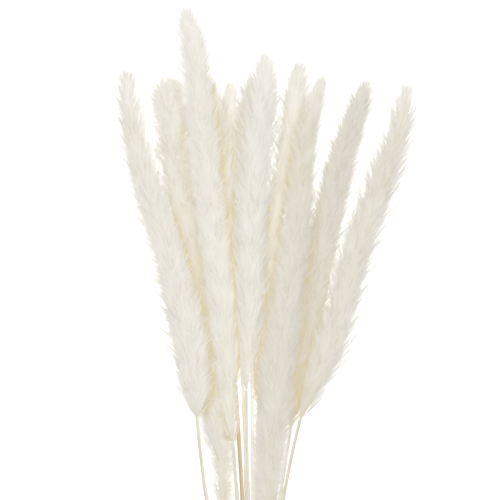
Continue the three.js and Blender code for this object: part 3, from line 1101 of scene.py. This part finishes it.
    def body_rings(self) -> tuple[np.ndarray, np.ndarray]:
        """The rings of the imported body, with the bumps that its overlapping tufts make.

        Returns:
            The rings' points, and each one's direction from the middle line.
        """
        stalk = self.stalk
        end = stalk.tip_y - self.tip_gap
        y = np.linspace(stalk.base_y, end, round((end - stalk.base_y) / self.body_step))
        angle = angles(self.body_sides)
        full = stalk.plume_radius(y)
        core = np.maximum(full - self.hair_stand, self.least_body * full)
        core = np.minimum(core, self.body_end + self.base_slope * (y - stalk.base_y))
        core = np.minimum(core, self.body_end + self.tip_slope * (end - y))
        random = np.random.default_rng(self.tuft_seed + int(stalk.name))
        bumps = np.zeros((len(y), self.body_sides))
        least, more = self.tuft_shares
        for _ in range(self.tuft_waves):
            around = random.integers(1, self.tufts_round + 1) * random.choice([-1, 1])
            length = self.tuft_length * (least + more * random.random())
            phase = around * angle[None, :] + FULL_TURN * (y[:, None] / length + random.random())
            bumps += np.cos(phase) / self.tuft_waves**0.5
        radius = core[:, None] + self.relief * np.minimum(full[:, None], 2 * core[:, None]) * bumps
        outward = np.broadcast_to(spokes(angle), (len(y), self.body_sides, 3))
        return stalk.centre(y)[:, None] + radius[..., None] * outward, outward

    def branch_lines(self) -> tuple[np.ndarray, np.ndarray, np.ndarray, np.ndarray]:
        """The branches, drawn from near the middle line up and outwards.

        Returns:
            Their points as an array of branch, point on it and place, each point's direction from the middle
            line, each point's thickness and each branch's tone.
        """
        stalk = self.stalk
        random = np.random.default_rng(int(stalk.name))
        length = stalk.tip_y - stalk.base_y
        count = round(length / self.branch_spacing)
        number = np.arange(count)
        root_y = stalk.base_y + (number + random.random(count)) / count * (length - self.last_root)
        ripe = np.minimum(1, self.short_at_base + (root_y - stalk.base_y) / self.full_after)
        reach = self.branch_reach * ripe * (1 + self.reach_uneven * (2 * random.random(count) - 1))
        least, more = self.room_shares
        room = (stalk.tip_y - root_y) * (least + more * random.random(count))
        reach = np.minimum(reach, np.maximum(room, self.least_reach))
        full = stalk.plume_radius(root_y + reach) * self.dome(root_y + reach)
        angle = number * GOLDEN_ANGLE + self.angle_uneven * (random.random(count) - 0.5)
        far = random.random(count) ** self.spread_bias
        spread = full * (self.least_spread + (self.most_spread - self.least_spread) * far)
        spread = spread * (1 - self.flatter_on_top * np.maximum(np.sin(angle), 0))
        chance = self.loose_share + (self.loose_at_base - self.loose_share) * (1 - ripe)
        loose = random.random(count) < chance
        spread = np.where(loose, full * self.loose_spread, spread)
        reach = np.where(loose, reach * self.loose_reach, reach)
        swirl = self.swirl_uneven * (random.random(count) - 0.5)
        tone = random.random(count)
        kept = (np.sin(angle) > self.under_branch) | (random.random(count) < self.under_share)
        root_y, reach, spread, angle, swirl = (
            values[kept][:, None] for values in (root_y, reach, spread, angle, swirl)
        )

        share = np.linspace(0, 1, self.branch_points)
        y = root_y + reach * share
        outward = spokes(angle + swirl * share)
        arm = self.branch_root + (spread - self.branch_root) * share**self.branch_bend
        lines = stalk.centre(y.ravel()).reshape(*y.shape, 3) + outward * arm[..., None]
        belly = np.sin(math.pi * share**self.branch_belly)
        thick = self.branch_thickness * (self.branch_ends + belly) / (1 + self.branch_ends)
        return lines, outward, np.broadcast_to(thick, y.shape), tone[kept]

    def base(self) -> bpy.types.Mesh:
        """Puts the body and the branches in one mesh, with what the hair tree reads from them.

        Returns:
            A closed body and loose edges.
        """
        rings, ring_outward = self.body_rings()
        lines, outward, thick, tone = self.branch_lines()
        packed = rings.reshape(-1, 3)
        count, per_line = lines.shape[:2]
        starts = len(packed) + np.arange(count) * per_line
        edges = [(int(start) + k, int(start) + k + 1) for start in starts for k in range(per_line - 1)]
        points = np.vstack([packed, lines.reshape(-1, 3)])
        mesh = turned_out(mesh_of(f"base_{self.stalk.name}", points, swept(rings), edges))
        on_branch = np.arange(len(points)) >= len(packed)
        flow = self.stalk.centre(points[:, 1] + 1) - self.stalk.centre(points[:, 1])
        flow[on_branch] = unit(np.gradient(lines, axis=1).reshape(-1, 3))
        both = np.vstack([ring_outward.reshape(-1, 3), outward.reshape(-1, 3)])
        facing = np.where(on_branch, 1.0, both[:, 2])
        both[:, 2] *= np.where(both[:, 2] > 0, 1 - 2 * self.flatter_on_top, 1)
        closing = self.closing(points[:, 1])
        least, more = self.tip_hair
        read_by_tree = {
            "branch": on_branch.astype(float),
            "loose": np.where(on_branch, self.branch_straying, 1.0),
            "along": np.concatenate([np.ones(len(packed)), np.tile(np.linspace(0, 1, per_line), count)]),
            "strand": np.where(on_branch, self.branch_strand, 1.0),
            "haired": np.where(facing < self.under_body, self.under_share, 1.0),
            "flow": flow,
            "thickness": np.concatenate([np.zeros(len(packed)), thick.ravel()]) * MM,
            "branch_tone": np.concatenate([np.full(len(packed), self.mean_tone), np.repeat(tone, per_line)]),
            "outward": both * closing[:, None],
            "hair_size": np.where(on_branch, self.branch_hair, 1.0) * (least + more * closing),
        }
        write_attributes(mesh, read_by_tree)
        return mesh

    def is_free(self, points: np.ndarray) -> np.ndarray:
        """Tells which points are in this plume's own share of the space.

        Args:
            points: places in millimetres, one a row.

        Returns:
            True for each point that is clear of every other stem, and nearer to this plume's middle line
            than to a neighbouring plume's, each measured against the plume's radius there.
        """
        y = points[:, 1]
        from_own = np.linalg.norm(points - self.stalk.centre(y), axis=1)
        own_share = (from_own + PLUME_GAP) / self.stalk.girth(y)
        free = np.ones(len(points), bool)
        for other in self.others():
            from_other = np.linalg.norm(points - other.centre(y), axis=1)
            among_plumes = own_share <= (from_other - PLUME_GAP) / other.girth(y)
            by_stem = from_other > other.stem_radius(y) + self.stem_clear
            past_tip = y > other.tip_y + self.tip_clear
            free &= np.where(y < other.base_y, by_stem, among_plumes) | past_tip
        return free

    def beside_others(self, points: np.ndarray) -> tuple[np.ndarray, np.ndarray, np.ndarray]:
        """How close points lie to other plumes as seen from above, from 0 to 1.

        Args:
            points: places in millimetres, one a row.

        Returns:
            How close each point is to any plume, how close to one that is about as high or higher, which
            sets painted shade, and how much painted shade it gets in a narrow band right beneath one's edge.
        """
        y = points[:, 1]
        crowded, shaded, shade_under_edge = (np.zeros(len(points)) for _ in range(3))
        for other in self.others():
            arms = points - other.centre(y)
            share = np.abs(arms[:, 0]) / other.girth(y)
            beside = (y > other.base_y) & (y < other.tip_y)
            near, wide, close = (
                beside * (1 - smooth_step(*reach, share))
                for reach in (self.crowded_reach, self.shaded_reach, self.shade_under_edge_reach)
            )
            crowded = np.maximum(crowded, near)
            # Painted shade: beside a plume as high or higher, and in a narrow band beneath its edge.
            shaded = np.maximum(shaded, wide * smooth_step(*self.shaded_depth, -arms[:, 2]))
            shade_under_edge = np.maximum(shade_under_edge, close * smooth_step(*self.shade_under_edge_depth, -arms[:, 2]))
        return crowded, shaded, shade_under_edge

    def tint(self, mesh: bpy.types.Mesh, points: np.ndarray) -> None:
        """Writes how yellow and how grey the hair is, which its material reads, painted shade and painted
        light included.

        Args:
            mesh: the plume's mesh.
            points: its vertices in millimetres, before they are bent.
        """
        stalk, y = self.stalk, points[:, 1]
        arms, girth = points - stalk.centre(y), stalk.girth(y)
        # Deeper in the plume the hair is yellower: partly its own colour at the roots, partly painted shade.
        inner = 1 - smooth_step(*self.inner_reach, np.linalg.norm(arms, axis=1) / girth)
        tone = read_numbers(mesh.attributes["branch_tone"].data, "value") - self.mean_tone
        # Painted shade beside and beneath other plumes.
        crowded, shaded, shade_under_edge = self.beside_others(points)
        # Painted light: hair at the plume's thin sides is made paler, except where another plume lies close.
        lit = smooth_step(*self.lit_through, np.abs(arms[:, 0]) / girth) * (1 - crowded)
        from_tip = smooth_step(0, self.pale_tip, stalk.tip_y - y)
        least, more = self.tip_shade_under_edge
        # Painted shade in a narrow band beneath another plume's edge, weaker near the tip and on this
        # plume's underside.
        shade_under_edge = shade_under_edge * (least + more * from_tip) * smooth_step(*self.shade_under_edge_rise, arms[:, 2] / girth)
        straw = stalk.straw + self.inner_straw * inner * from_tip + self.tone_straw * tone
        straw = straw + self.shaded_straw * shaded + self.shade_under_edge_straw * shade_under_edge - self.lit_straw * lit
        least, more = self.tip_dusk
        dusk = stalk.dusk * (least + more * from_tip) + self.tone_dusk * tone
        dusk = dusk + self.shaded_dusk * shaded + self.shade_under_edge_dusk * shade_under_edge - self.lit_dusk * lit
        write_attributes(mesh, {"straw": np.clip(straw, 0, self.most_straw), "dusk": dusk})

    def turn_needles_out(self, mesh: bpy.types.Mesh, points: np.ndarray) -> None:
        """Swaps two corners of each needle that bending turned inside out.

        Args:
            mesh: the plume's mesh, whose needles alone have a tone.
            points: its vertices in millimetres, which are changed.
        """
        tone = read_numbers(mesh.attributes["hair_tone"].data, "value")
        needles = np.flatnonzero(tone > 0).reshape(-1, NEEDLE_CORNERS)
        first, second, third, fourth = (points[corner] for corner in needles.T)
        spans = np.cross(second - first, third - first)
        volume = np.einsum("ij,ij->i", spans, fourth - first)
        inverted = needles[volume * np.sign(np.median(volume)) < 0]
        points[inverted[:, [1, 2]]] = points[inverted[:, [2, 1]]]

    def drooped(self, points: np.ndarray) -> np.ndarray:
        """Lets the hair on top droop under its own weight.

        Args:
            points: places in millimetres, one a row.

        Returns:
            The points, the highest of them lower.
        """
        level = self.stalk.centre(points[:, 1])[:, 2] + self.stalk.plume_radius(points[:, 1])
        rise = np.maximum(points[:, 2] - level, 0)
        lower = points.copy()
        lower[:, 2] += self.droop_height * np.tanh(rise / self.droop_height) - rise
        return lower

    def bent_clear(self, points: np.ndarray) -> np.ndarray:
        """Bends what would reach into a neighbour back towards the plume's own middle line.

        Args:
            points: places in millimetres, one a row.

        Returns:
            The points in their new places.
        """
        caught = np.flatnonzero(~self.is_free(points))
        centres = self.stalk.centre(points[caught, 1])
        arms = points[caught] - centres
        low, high = np.full(len(caught), self.least_arm), np.ones(len(caught))
        for _ in range(self.steps):
            half = (low + high) / 2
            free = self.is_free(centres + arms * half[:, None])
            low, high = np.where(free, half, low), np.where(free, high, half)
        bent = points.copy()
        bent[caught] = centres + arms * low[:, None]
        return bent

    def soften(self, mesh: bpy.types.Mesh) -> None:
        """Turns the hairs' shading normals mostly outwards, as light scattered in fine hair does.

        Args:
            mesh: the plume's mesh.
        """
        points = places(mesh)
        outward = unit(points - self.stalk.centre(points[:, 1]), self.near_middle)
        mixed = outward + self.needle_shading * read_numbers(mesh.vertex_normals, "vector", 3)
        mixed[:, 2] = np.abs(mixed[:, 2]) + self.scatter
        mesh.normals_split_custom_set_from_vertices(unit(mixed).tolist())

    def build(
        self, tree: bpy.types.NodeTree, finish: bpy.types.Material, stems: BVHTree
    ) -> bpy.types.Object:
        """Grows the plume and puts it in place of its node.

        Args:
            tree: the hair tree.
            finish: the hair's material.
            stems: the faces of the other stalks' stems, which no hair may cross.

        Returns:
            The piece.
        """
        name = self.stalk.name
        thinned = 1
        inputs = {
            "Hair spacing": self.hair_spacing * MM * thinned,
            "Hair density": self.hair_density / MM**2 / thinned,
            "Hair length": self.hair_length * MM,
            "Hair width": self.hair_width * MM,
            "Strand share": self.strand_share,
            "Straying": self.straying,
            "Clump size": self.clump_size * MM,
            "Clumping": self.clumping,
            "Outward lean": self.outward_lean,
            "Bare share": self.bare_share,
            "Branch sides": self.branch_sides,
            "Seed": self.hair_seed * int(name),
            "Finish": finish,
        }
        mesh = plain_mesh(f"hair_{name}", self.base(), tree, inputs)
        points = places(mesh)
        self.tint(mesh, points)
        points = on_table(self.bent_clear(self.drooped(points)), HAIR_GIVE)
        self.turn_needles_out(mesh, points)
        place(mesh, points)
        taken = cut_clear(mesh, stems)
        log.info("plume %s: %d hairs and branches that crossed a stem were left out", name, taken)
        self.soften(mesh)
        return piece(f"hair_{name}", mesh, f"plume_{name}")


@dataclass
class Culm:
    """One stem: a slim culm with a joint or two, and the dried leaf sheath above the upper joint."""

    stalk: Stalk
    sides: int = 18
    plain_step: float = 5.0
    fine_step: float = 0.7
    fine_reach: float = 6  # how far the rings are close together on either side of a joint
    edge_reach: float = 2  # and beyond the slant of the sheath's edge
    first_step: float = 2  # from the cut end to the first plain ring
    last_step: float = 1
    least_step: float = 0.15
    joint_width: float = 1.9
    groove: float = 0.16  # the ring cut just above a joint
    groove_rise: float = 1.9
    groove_width: float = 0.7
    rib: float = 0.03
    ribs: int = 9
    sheath_start: float = 3  # from the joint to where the sheath has its full thickness
    sheath_edge: float = 1.0  # how fast the sheath's upper edge falls away
    sheath_slant: float = 7.0  # its upper edge is cut aslant
    sheath_shares: tuple[float, float] = (0.75, 0.35)  # of its thickness, round it from the seam on
    seam_turn: float = 1.9  # from one stalk's seam to the next one's, in radians
    cut_slant: float = 0.9
    pith_share: float = 0.72
    pith_depth: float = 0.35

    def sheath_span(self) -> tuple[float, float]:
        """Where the sheath starts and ends along Y."""
        start = self.stalk.joints[-1]
        return start, start + SHEATH_LENGTH + self.stalk.long_sheath

    def seam(self) -> float:
        """The angle at which the sheath's two edges overlap."""
        return self.seam_turn * int(self.stalk.name)

    def stops(self) -> np.ndarray:
        """Where the rings are along Y, close together at the joints and at the sheath's edge.

        Returns:
            The places, in order.
        """
        bottom, top = self.stalk.end_y, self.stalk.base_y - SEAT_GAP
        plain = np.arange(bottom + self.first_step, top - self.last_step, self.plain_step)
        reach = self.sheath_slant + self.edge_reach
        spans = [(joint - self.fine_reach, joint + self.fine_reach) for joint in self.stalk.joints]
        spans.append((self.sheath_span()[1] - reach, self.sheath_span()[1] + reach))
        fine = [np.arange(low, high, self.fine_step) for low, high in spans]
        every = np.concatenate([[bottom, top], plain, *fine])
        every = np.unique(np.round(every[(every >= bottom) & (every <= top)], 3))
        return every[np.concatenate([[True], np.diff(every) > self.least_step])]

    def sheath_share(self, y: np.ndarray, angle: np.ndarray) -> np.ndarray:
        """How much of the sheath's thickness is there, 1 within the sheath and 0 outside it.

        Args:
            y: places along the stem, in millimetres.
            angle: angles round it.

        Returns:
            The shares, all 0 on a stem that has only one joint.
        """
        if len(self.stalk.joints) < 2:
            return np.zeros(np.broadcast(y, angle).shape)
        start, end = self.sheath_span()
        edge = end + self.sheath_slant * np.cos(angle + self.seam())
        starting = smooth_step(start, start + self.sheath_start, y)
        return starting * (1 - smooth_step(edge, edge + self.sheath_edge, y))

    def radius(self, y: np.ndarray, angle: np.ndarray) -> np.ndarray:
        """The stem's radius at places along it and angles round it.

        Args:
            y: places along the stem, in millimetres.
            angle: angles round it.

        Returns:
            The radii.
        """
        made = self.stalk.stem_radius(y) + self.rib * np.cos(self.ribs * angle)
        for joint in self.stalk.joints:
            made = made + JOINT_SWELL * np.exp(-(((y - joint) / self.joint_width) ** 2))
            made = made - self.groove * np.exp(-(((y - joint - self.groove_rise) / self.groove_width) ** 2))
        least, more = self.sheath_shares
        overlap = ((angle + self.seam()) / FULL_TURN) % 1
        return made + self.sheath_share(y, angle) * SHEATH_SWELL * (least + more * overlap)

    def build(self, finish: bpy.types.Material) -> bpy.types.Object:
        """Builds the stem and puts it in place of its node.

        Args:
            finish: the stem's material.

        Returns:
            The piece.
        """
        name = self.stalk.name
        y = self.stops()[:, None]
        angle = angles(self.sides)
        centres = self.stalk.centre(y.ravel())
        rings = centres[:, None, :] + self.radius(y, angle[None])[..., None] * spokes(angle)[None]
        rings[0, :, 1] += self.cut_slant * np.cos(angle + self.seam()) * STEM_RADIUS_CUT / 2
        pith = centres[0] + (rings[0] - centres[0]) * self.pith_share
        pith[:, 1] += self.pith_depth
        mesh = tube_mesh(f"culm_{name}", np.concatenate([pith[None], rings]), finish)
        sheath = self.sheath_share(y, angle[None])
        write_attributes(mesh, {"sheath": np.concatenate([np.ones(self.sides), sheath.ravel()])})
        return piece(f"culm_{name}", mesh, f"stem_{name}")


@dataclass
class Tie:
    """The twine wound round the stems, with a knot on top and two short ends."""

    stalks: list[Stalk]
    radius: float = 1.0
    turns: int = 4
    pitch: float = 2.25
    steps: int = 72  # along each turn
    ring_step: float = 0.7
    sides: int = 15
    strands: int = 3
    lay: float = 6.5  # along the twine, from a strand's crest to its next
    strand_relief: float = 0.2
    knot_loop: float = 1.9
    knot_stretch: float = 1.25
    knot_tilt: tuple[float, float, float] = (0.75, 0.4, 0.5)
    knot_rise: float = 0.5
    knot_points: int = 40
    tail_length: float = 15
    # An end's way from the knot's middle: a share of its length across, then millimetres along and up.
    tail_way: tuple[tuple[float, float, float], ...] = ((0, 0.5, 0.2), (0.45, -1.5, 0.4), (1, -5, -3.2))
    tail_steps: int = 12
    fibre_spacing: float = 0.45
    fibre_length: float = 2.4
    fibre_width: float = 0.09
    fibre_step: float = 2.0  # along the lines that the fibres stand on
    fibre_core: float = 0.3  # the radius of what they stand on, hidden in the twine, as a share of its own
    fibre_straying: float = 0.5
    fibre_lean: float = 0.7
    fibre_seed: int = 7
    outward_seed: int = 77

    def touching(self, angle: float, y: float) -> np.ndarray:
        """Where the twine lies at an angle round the stems, drawn tight on the outermost one there.

        Args:
            angle: the angle round the bunch.
            y: the place along it.

        Returns:
            The middle of the twine.
        """
        outward = np.array([math.cos(angle), 0, math.sin(angle)])
        reach = SEAT_GAP + self.radius
        resting = [
            stalk.centre(np.array([at]))[0] + outward * (stalk.stem_radius(at) + reach)
            for stalk in self.stalks
            for at in (y - self.radius, y, y + self.radius)
        ]
        furthest = max(resting, key=lambda place: float(place @ outward))
        return np.array([furthest[0], y, furthest[2]])

    def middle_y(self) -> float:
        """The place of the tie along Y."""
        return float(self.stalks[0].shift[1])

    def winding(self) -> np.ndarray:
        """The middle line of the wound turns, one point a row."""
        made = []
        for k in range(self.turns * self.steps + 1):
            y = self.middle_y() + self.pitch * (k / self.steps - self.turns / 2)
            made.append(self.touching(math.pi / 2 + FULL_TURN * k / self.steps, y))
        return np.array(made)

    def knot_loops(self, middle: np.ndarray) -> list:
        """The two crossed loops of the knot.

        Args:
            middle: the knot's middle.

        Returns:
            Each loop's middle line, closed on itself.
        """
        roll, pitch, turn = self.knot_tilt
        angle = np.linspace(0, FULL_TURN, self.knot_points)
        flat = np.column_stack([self.knot_stretch * np.cos(angle), np.sin(angle), np.zeros_like(angle)])
        made = []
        for side in (-1, 1):
            tilt = rotation(0, roll * side) @ rotation(1, pitch) @ rotation(2, turn * side)
            made.append(middle + self.knot_loop * flat @ tilt.T)
        return made

    def tails(self, middle: np.ndarray, turns: np.ndarray) -> list:
        """The twine's two ends, from the first and the last turn through the knot.

        Args:
            middle: the knot's middle.
            turns: the middle line of the wound turns.

        Returns:
            Each end's middle line.
        """
        made = []
        for side, start in ((-1, turns[0]), (1, turns[-1])):
            way = [(x * side * self.tail_length, y * side, z) for x, y, z in self.tail_way]
            made.append(smooth_curve([start, *(middle + np.array(step) for step in way)], self.tail_steps))
        return made

    def twisted(self, name: str, line: np.ndarray, finish: bpy.types.Material) -> bpy.types.Mesh:
        """Twine of twisted strands along a line.

        Args:
            name: the mesh's name.
            line: the middle line's points.
            finish: the twine's material.

        Returns:
            The closed mesh, which says how deep in a groove each point is.
        """
        points = resampled(line, self.ring_step)
        along = unit(np.gradient(points, axis=0))
        side = unit(np.array([0, 1.0, 0]) - along[:, 1:2] * along)
        up = np.cross(along, side)
        angle = angles(self.sides)[None]
        twist = (np.arange(len(points)) * self.ring_step * FULL_TURN / self.lay)[:, None]
        crest = np.abs(np.cos(self.strands * angle / 2 - self.strands * twist / 2))
        radius = self.radius * (1 - self.strand_relief * (1 - crest))
        round_it = np.cos(angle)[..., None] * side[:, None] + np.sin(angle)[..., None] * up[:, None]
        mesh = tube_mesh(name, points[:, None] + radius[..., None] * round_it, finish)
        # How deep in a groove each point is, which the material paints as shade.
        write_attributes(mesh, {"groove": (1 - crest).ravel() ** 2})
        return mesh

    def fibres(self, lines: list, tree: bpy.types.NodeTree, finish: bpy.types.Material) -> bpy.types.Mesh:
        """Stray fibres along the twine.

        Args:
            lines: the middle lines of the twine.
            tree: the hair tree.
            finish: the twine's material.

        Returns:
            The fibres as a plain mesh.
        """
        stood_on, edges = [], []
        for line in lines:
            start = len(stood_on)
            stood_on += list(resampled(line, self.fibre_step))
            edges += [(k, k + 1) for k in range(start, len(stood_on) - 1)]
        points = np.array(stood_on)
        mesh = mesh_of("fibre_lines", points, [], edges)
        full = ("branch", "loose", "hair_size", "along")
        write_attributes(mesh, {name: np.ones(len(points)) for name in full})
        others = {
            "flow": np.gradient(points, axis=0),
            "thickness": np.full(len(points), self.fibre_core * self.radius * MM),
            "outward": unit(np.random.default_rng(self.outward_seed).normal(size=points.shape)),
        }
        write_attributes(mesh, others)
        inputs = {
            "Hair spacing": self.fibre_spacing * MM,
            "Hair density": 0.0,
            "Hair length": self.fibre_length * MM,
            "Hair width": self.fibre_width * MM,
            "Strand share": 0.0,
            "Clump size": MM,
            "Clumping": 0.0,
            "Straying": self.fibre_straying,
            "Outward lean": self.fibre_lean,
            "Bare share": 0.0,
            "Branch sides": 3,
            "Seed": self.fibre_seed,
            "Finish": finish,
        }
        made = plain_mesh("fibres", mesh, tree, inputs)
        place(made, on_table(places(made), HARD_GIVE))
        return made

    def build(
        self, tree: bpy.types.NodeTree, finish: bpy.types.Material, stems: BVHTree
    ) -> bpy.types.Object:
        """Winds and knots the twine, and puts it in place of its node.

        Args:
            tree: the hair tree.
            finish: the twine's material.
            stems: the stems' faces, which no fibre may cross.

        Returns:
            The piece.
        """
        turns = self.winding()
        top = turns[:, 2].max() + self.radius
        middle = np.array([TIE_X + self.stalks[0].shift[0], self.middle_y(), top + self.knot_rise])
        lines = [turns, *self.knot_loops(middle), *self.tails(middle, turns)]
        bodies = [self.twisted(f"twine_{k}", line, finish) for k, line in enumerate(lines)]
        loose = self.fibres(lines, tree, finish)
        log.info("tie: %d fibres that crossed a stem were left out", cut_clear(loose, stems))
        return piece("twine", joined("twine", [*bodies, loose]), "tie")


def rotation(axis: int, angle: float) -> np.ndarray:
    """The matrix of a turn about an axis.

    Args:
        axis: 0, 1 or 2 for X, Y or Z.
        angle: the turn, in radians.

    Returns:
        The matrix.
    """
    first, second = ((1, 2), (2, 0), (0, 1))[axis]
    made = np.eye(3)
    made[first, first] = made[second, second] = math.cos(angle)
    made[first, second] = -math.sin(angle)
    made[second, first] = math.sin(angle)
    return made


@dataclass(frozen=True)
class Lamp:
    """A wide, distant lamp of the studio."""

    name: str
    strength: float
    spread: float  # degrees across, as seen from the table
    tilt: float  # degrees off the vertical
    bearing: float  # degrees from straight left towards the plumes' tips
    shadows: bool

    def hang(self) -> None:
        """Puts the lamp in the scene."""
        tilt, bearing = math.radians(self.tilt), math.radians(self.bearing)
        flat = math.sin(tilt)
        away = Vector((-math.cos(bearing) * flat, math.sin(bearing) * flat, math.cos(tilt)))
        data = bpy.data.lights.new(self.name, "SUN")
        data.energy = self.strength
        data.angle = math.radians(self.spread)
        data.use_shadow = self.shadows
        data.cycles.use_multiple_importance_sampling = self.shadows
        linked(self.name, data).rotation_euler = away.to_track_quat("Z", "Y").to_euler()


@dataclass
class Studio:
    """The table, the soft light and the camera that looks straight down."""

    view_middle: tuple[float, float] = (0.0, 387.0)  # x and y from the tie's middle, in millimetres
    view_width: float = 450
    view_level: float = 35  # the height in the bunch at which the view is that wide
    camera_height: float = 2600
    sensor: float = 36
    view_end: float = 100  # metres
    table_size: float = 12000
    table_drop: float = 0.05
    sky_strength: float = 0.15
    bounces: int = 16
    diffuse_bounces: int = 12
    lamps: tuple[Lamp, ...] = (
        Lamp("overhead_fill", 1.1, 100, 10, 38, False),
        Lamp("left_fill", 1.2, 100, 60, 10, False),
        Lamp("right_fill", 1.6, 100, 60, 170, False),
        Lamp("far_fill", 0.5, 100, 60, 90, False),
        Lamp("near_fill", 0.45, 100, 60, 270, False),
        Lamp("key", 0.12, 40, 35, 25, True),
    )

    def camera(self, shift: np.ndarray) -> None:
        """Hangs the camera over the plumes.

        Args:
            shift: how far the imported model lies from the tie's middle.
        """
        data = bpy.data.cameras.new("camera")
        data.sensor_width = self.sensor
        data.lens = (self.camera_height - self.view_level) * self.sensor / self.view_width
        data.clip_end = self.view_end
        camera = linked("camera", data)
        x, y = self.view_middle
        camera.location = ((x + shift[0]) * MM, (y + shift[1]) * MM, self.camera_height * MM)
        bpy.context.scene.camera = camera

    def table(self, finish: bpy.types.Material) -> None:
        """Lays the table under the bunch.

        Args:
            finish: the table's material.
        """
        half = self.table_size / 2
        corners = [(x * half, y * half, -self.table_drop) for x, y in ((-1, -1), (1, -1), (1, 1), (-1, 1))]
        mesh = mesh_of("table", np.array(corners), [(0, 1, 2, 3)])
        mesh.materials.append(finish)
        linked("table", mesh)

    def light(self) -> None:
        """Sets a white surround, shadowless fills from all sides and a soft key from the upper left."""
        scene = bpy.context.scene
        world = bpy.data.worlds.new("surround")
        world.use_nodes = True
        world.node_tree.nodes.clear()
        white = {"Color": (1.0, 1.0, 1.0, 1.0), "Strength": self.sky_strength}
        glow = add_node(world.node_tree, "ShaderNodeBackground", inputs=white)
        add_node(world.node_tree, "ShaderNodeOutputWorld", inputs={"Surface": glow})
        scene.world = world
        for lamp in self.lamps:
            lamp.hang()
        scene.view_settings.view_transform = "Standard"
        scene.cycles.max_bounces = self.bounces
        scene.cycles.diffuse_bounces = self.diffuse_bounces


def main() -> None:
    """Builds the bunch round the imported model, piece by piece."""
    logging.basicConfig(level=logging.INFO, format="%(name)s: %(message)s")
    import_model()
    for stalk in STALKS:
        stalk.trace()
    studio = Studio()
    studio.camera(STALKS[0].shift)
    studio.light()
    studio.table(MattTable().material())

    tree = hair_tree()
    hair = BleachedHair().material()
    culm_finishes = {bleach: DriedCulm(bleach).material() for bleach in Bleach}
    culms = {stalk.name: Culm(stalk).build(culm_finishes[stalk.bleach]) for stalk in STALKS}
    for stalk in STALKS:
        others = [culm for name, culm in culms.items() if name != stalk.name]
        Plume(stalk, STALKS).build(tree, hair, surface_of(others))
    Tie(STALKS).build(tree, NaturalTwine().material(), surface_of(list(culms.values())))


if __name__ == "__main__":
    main()
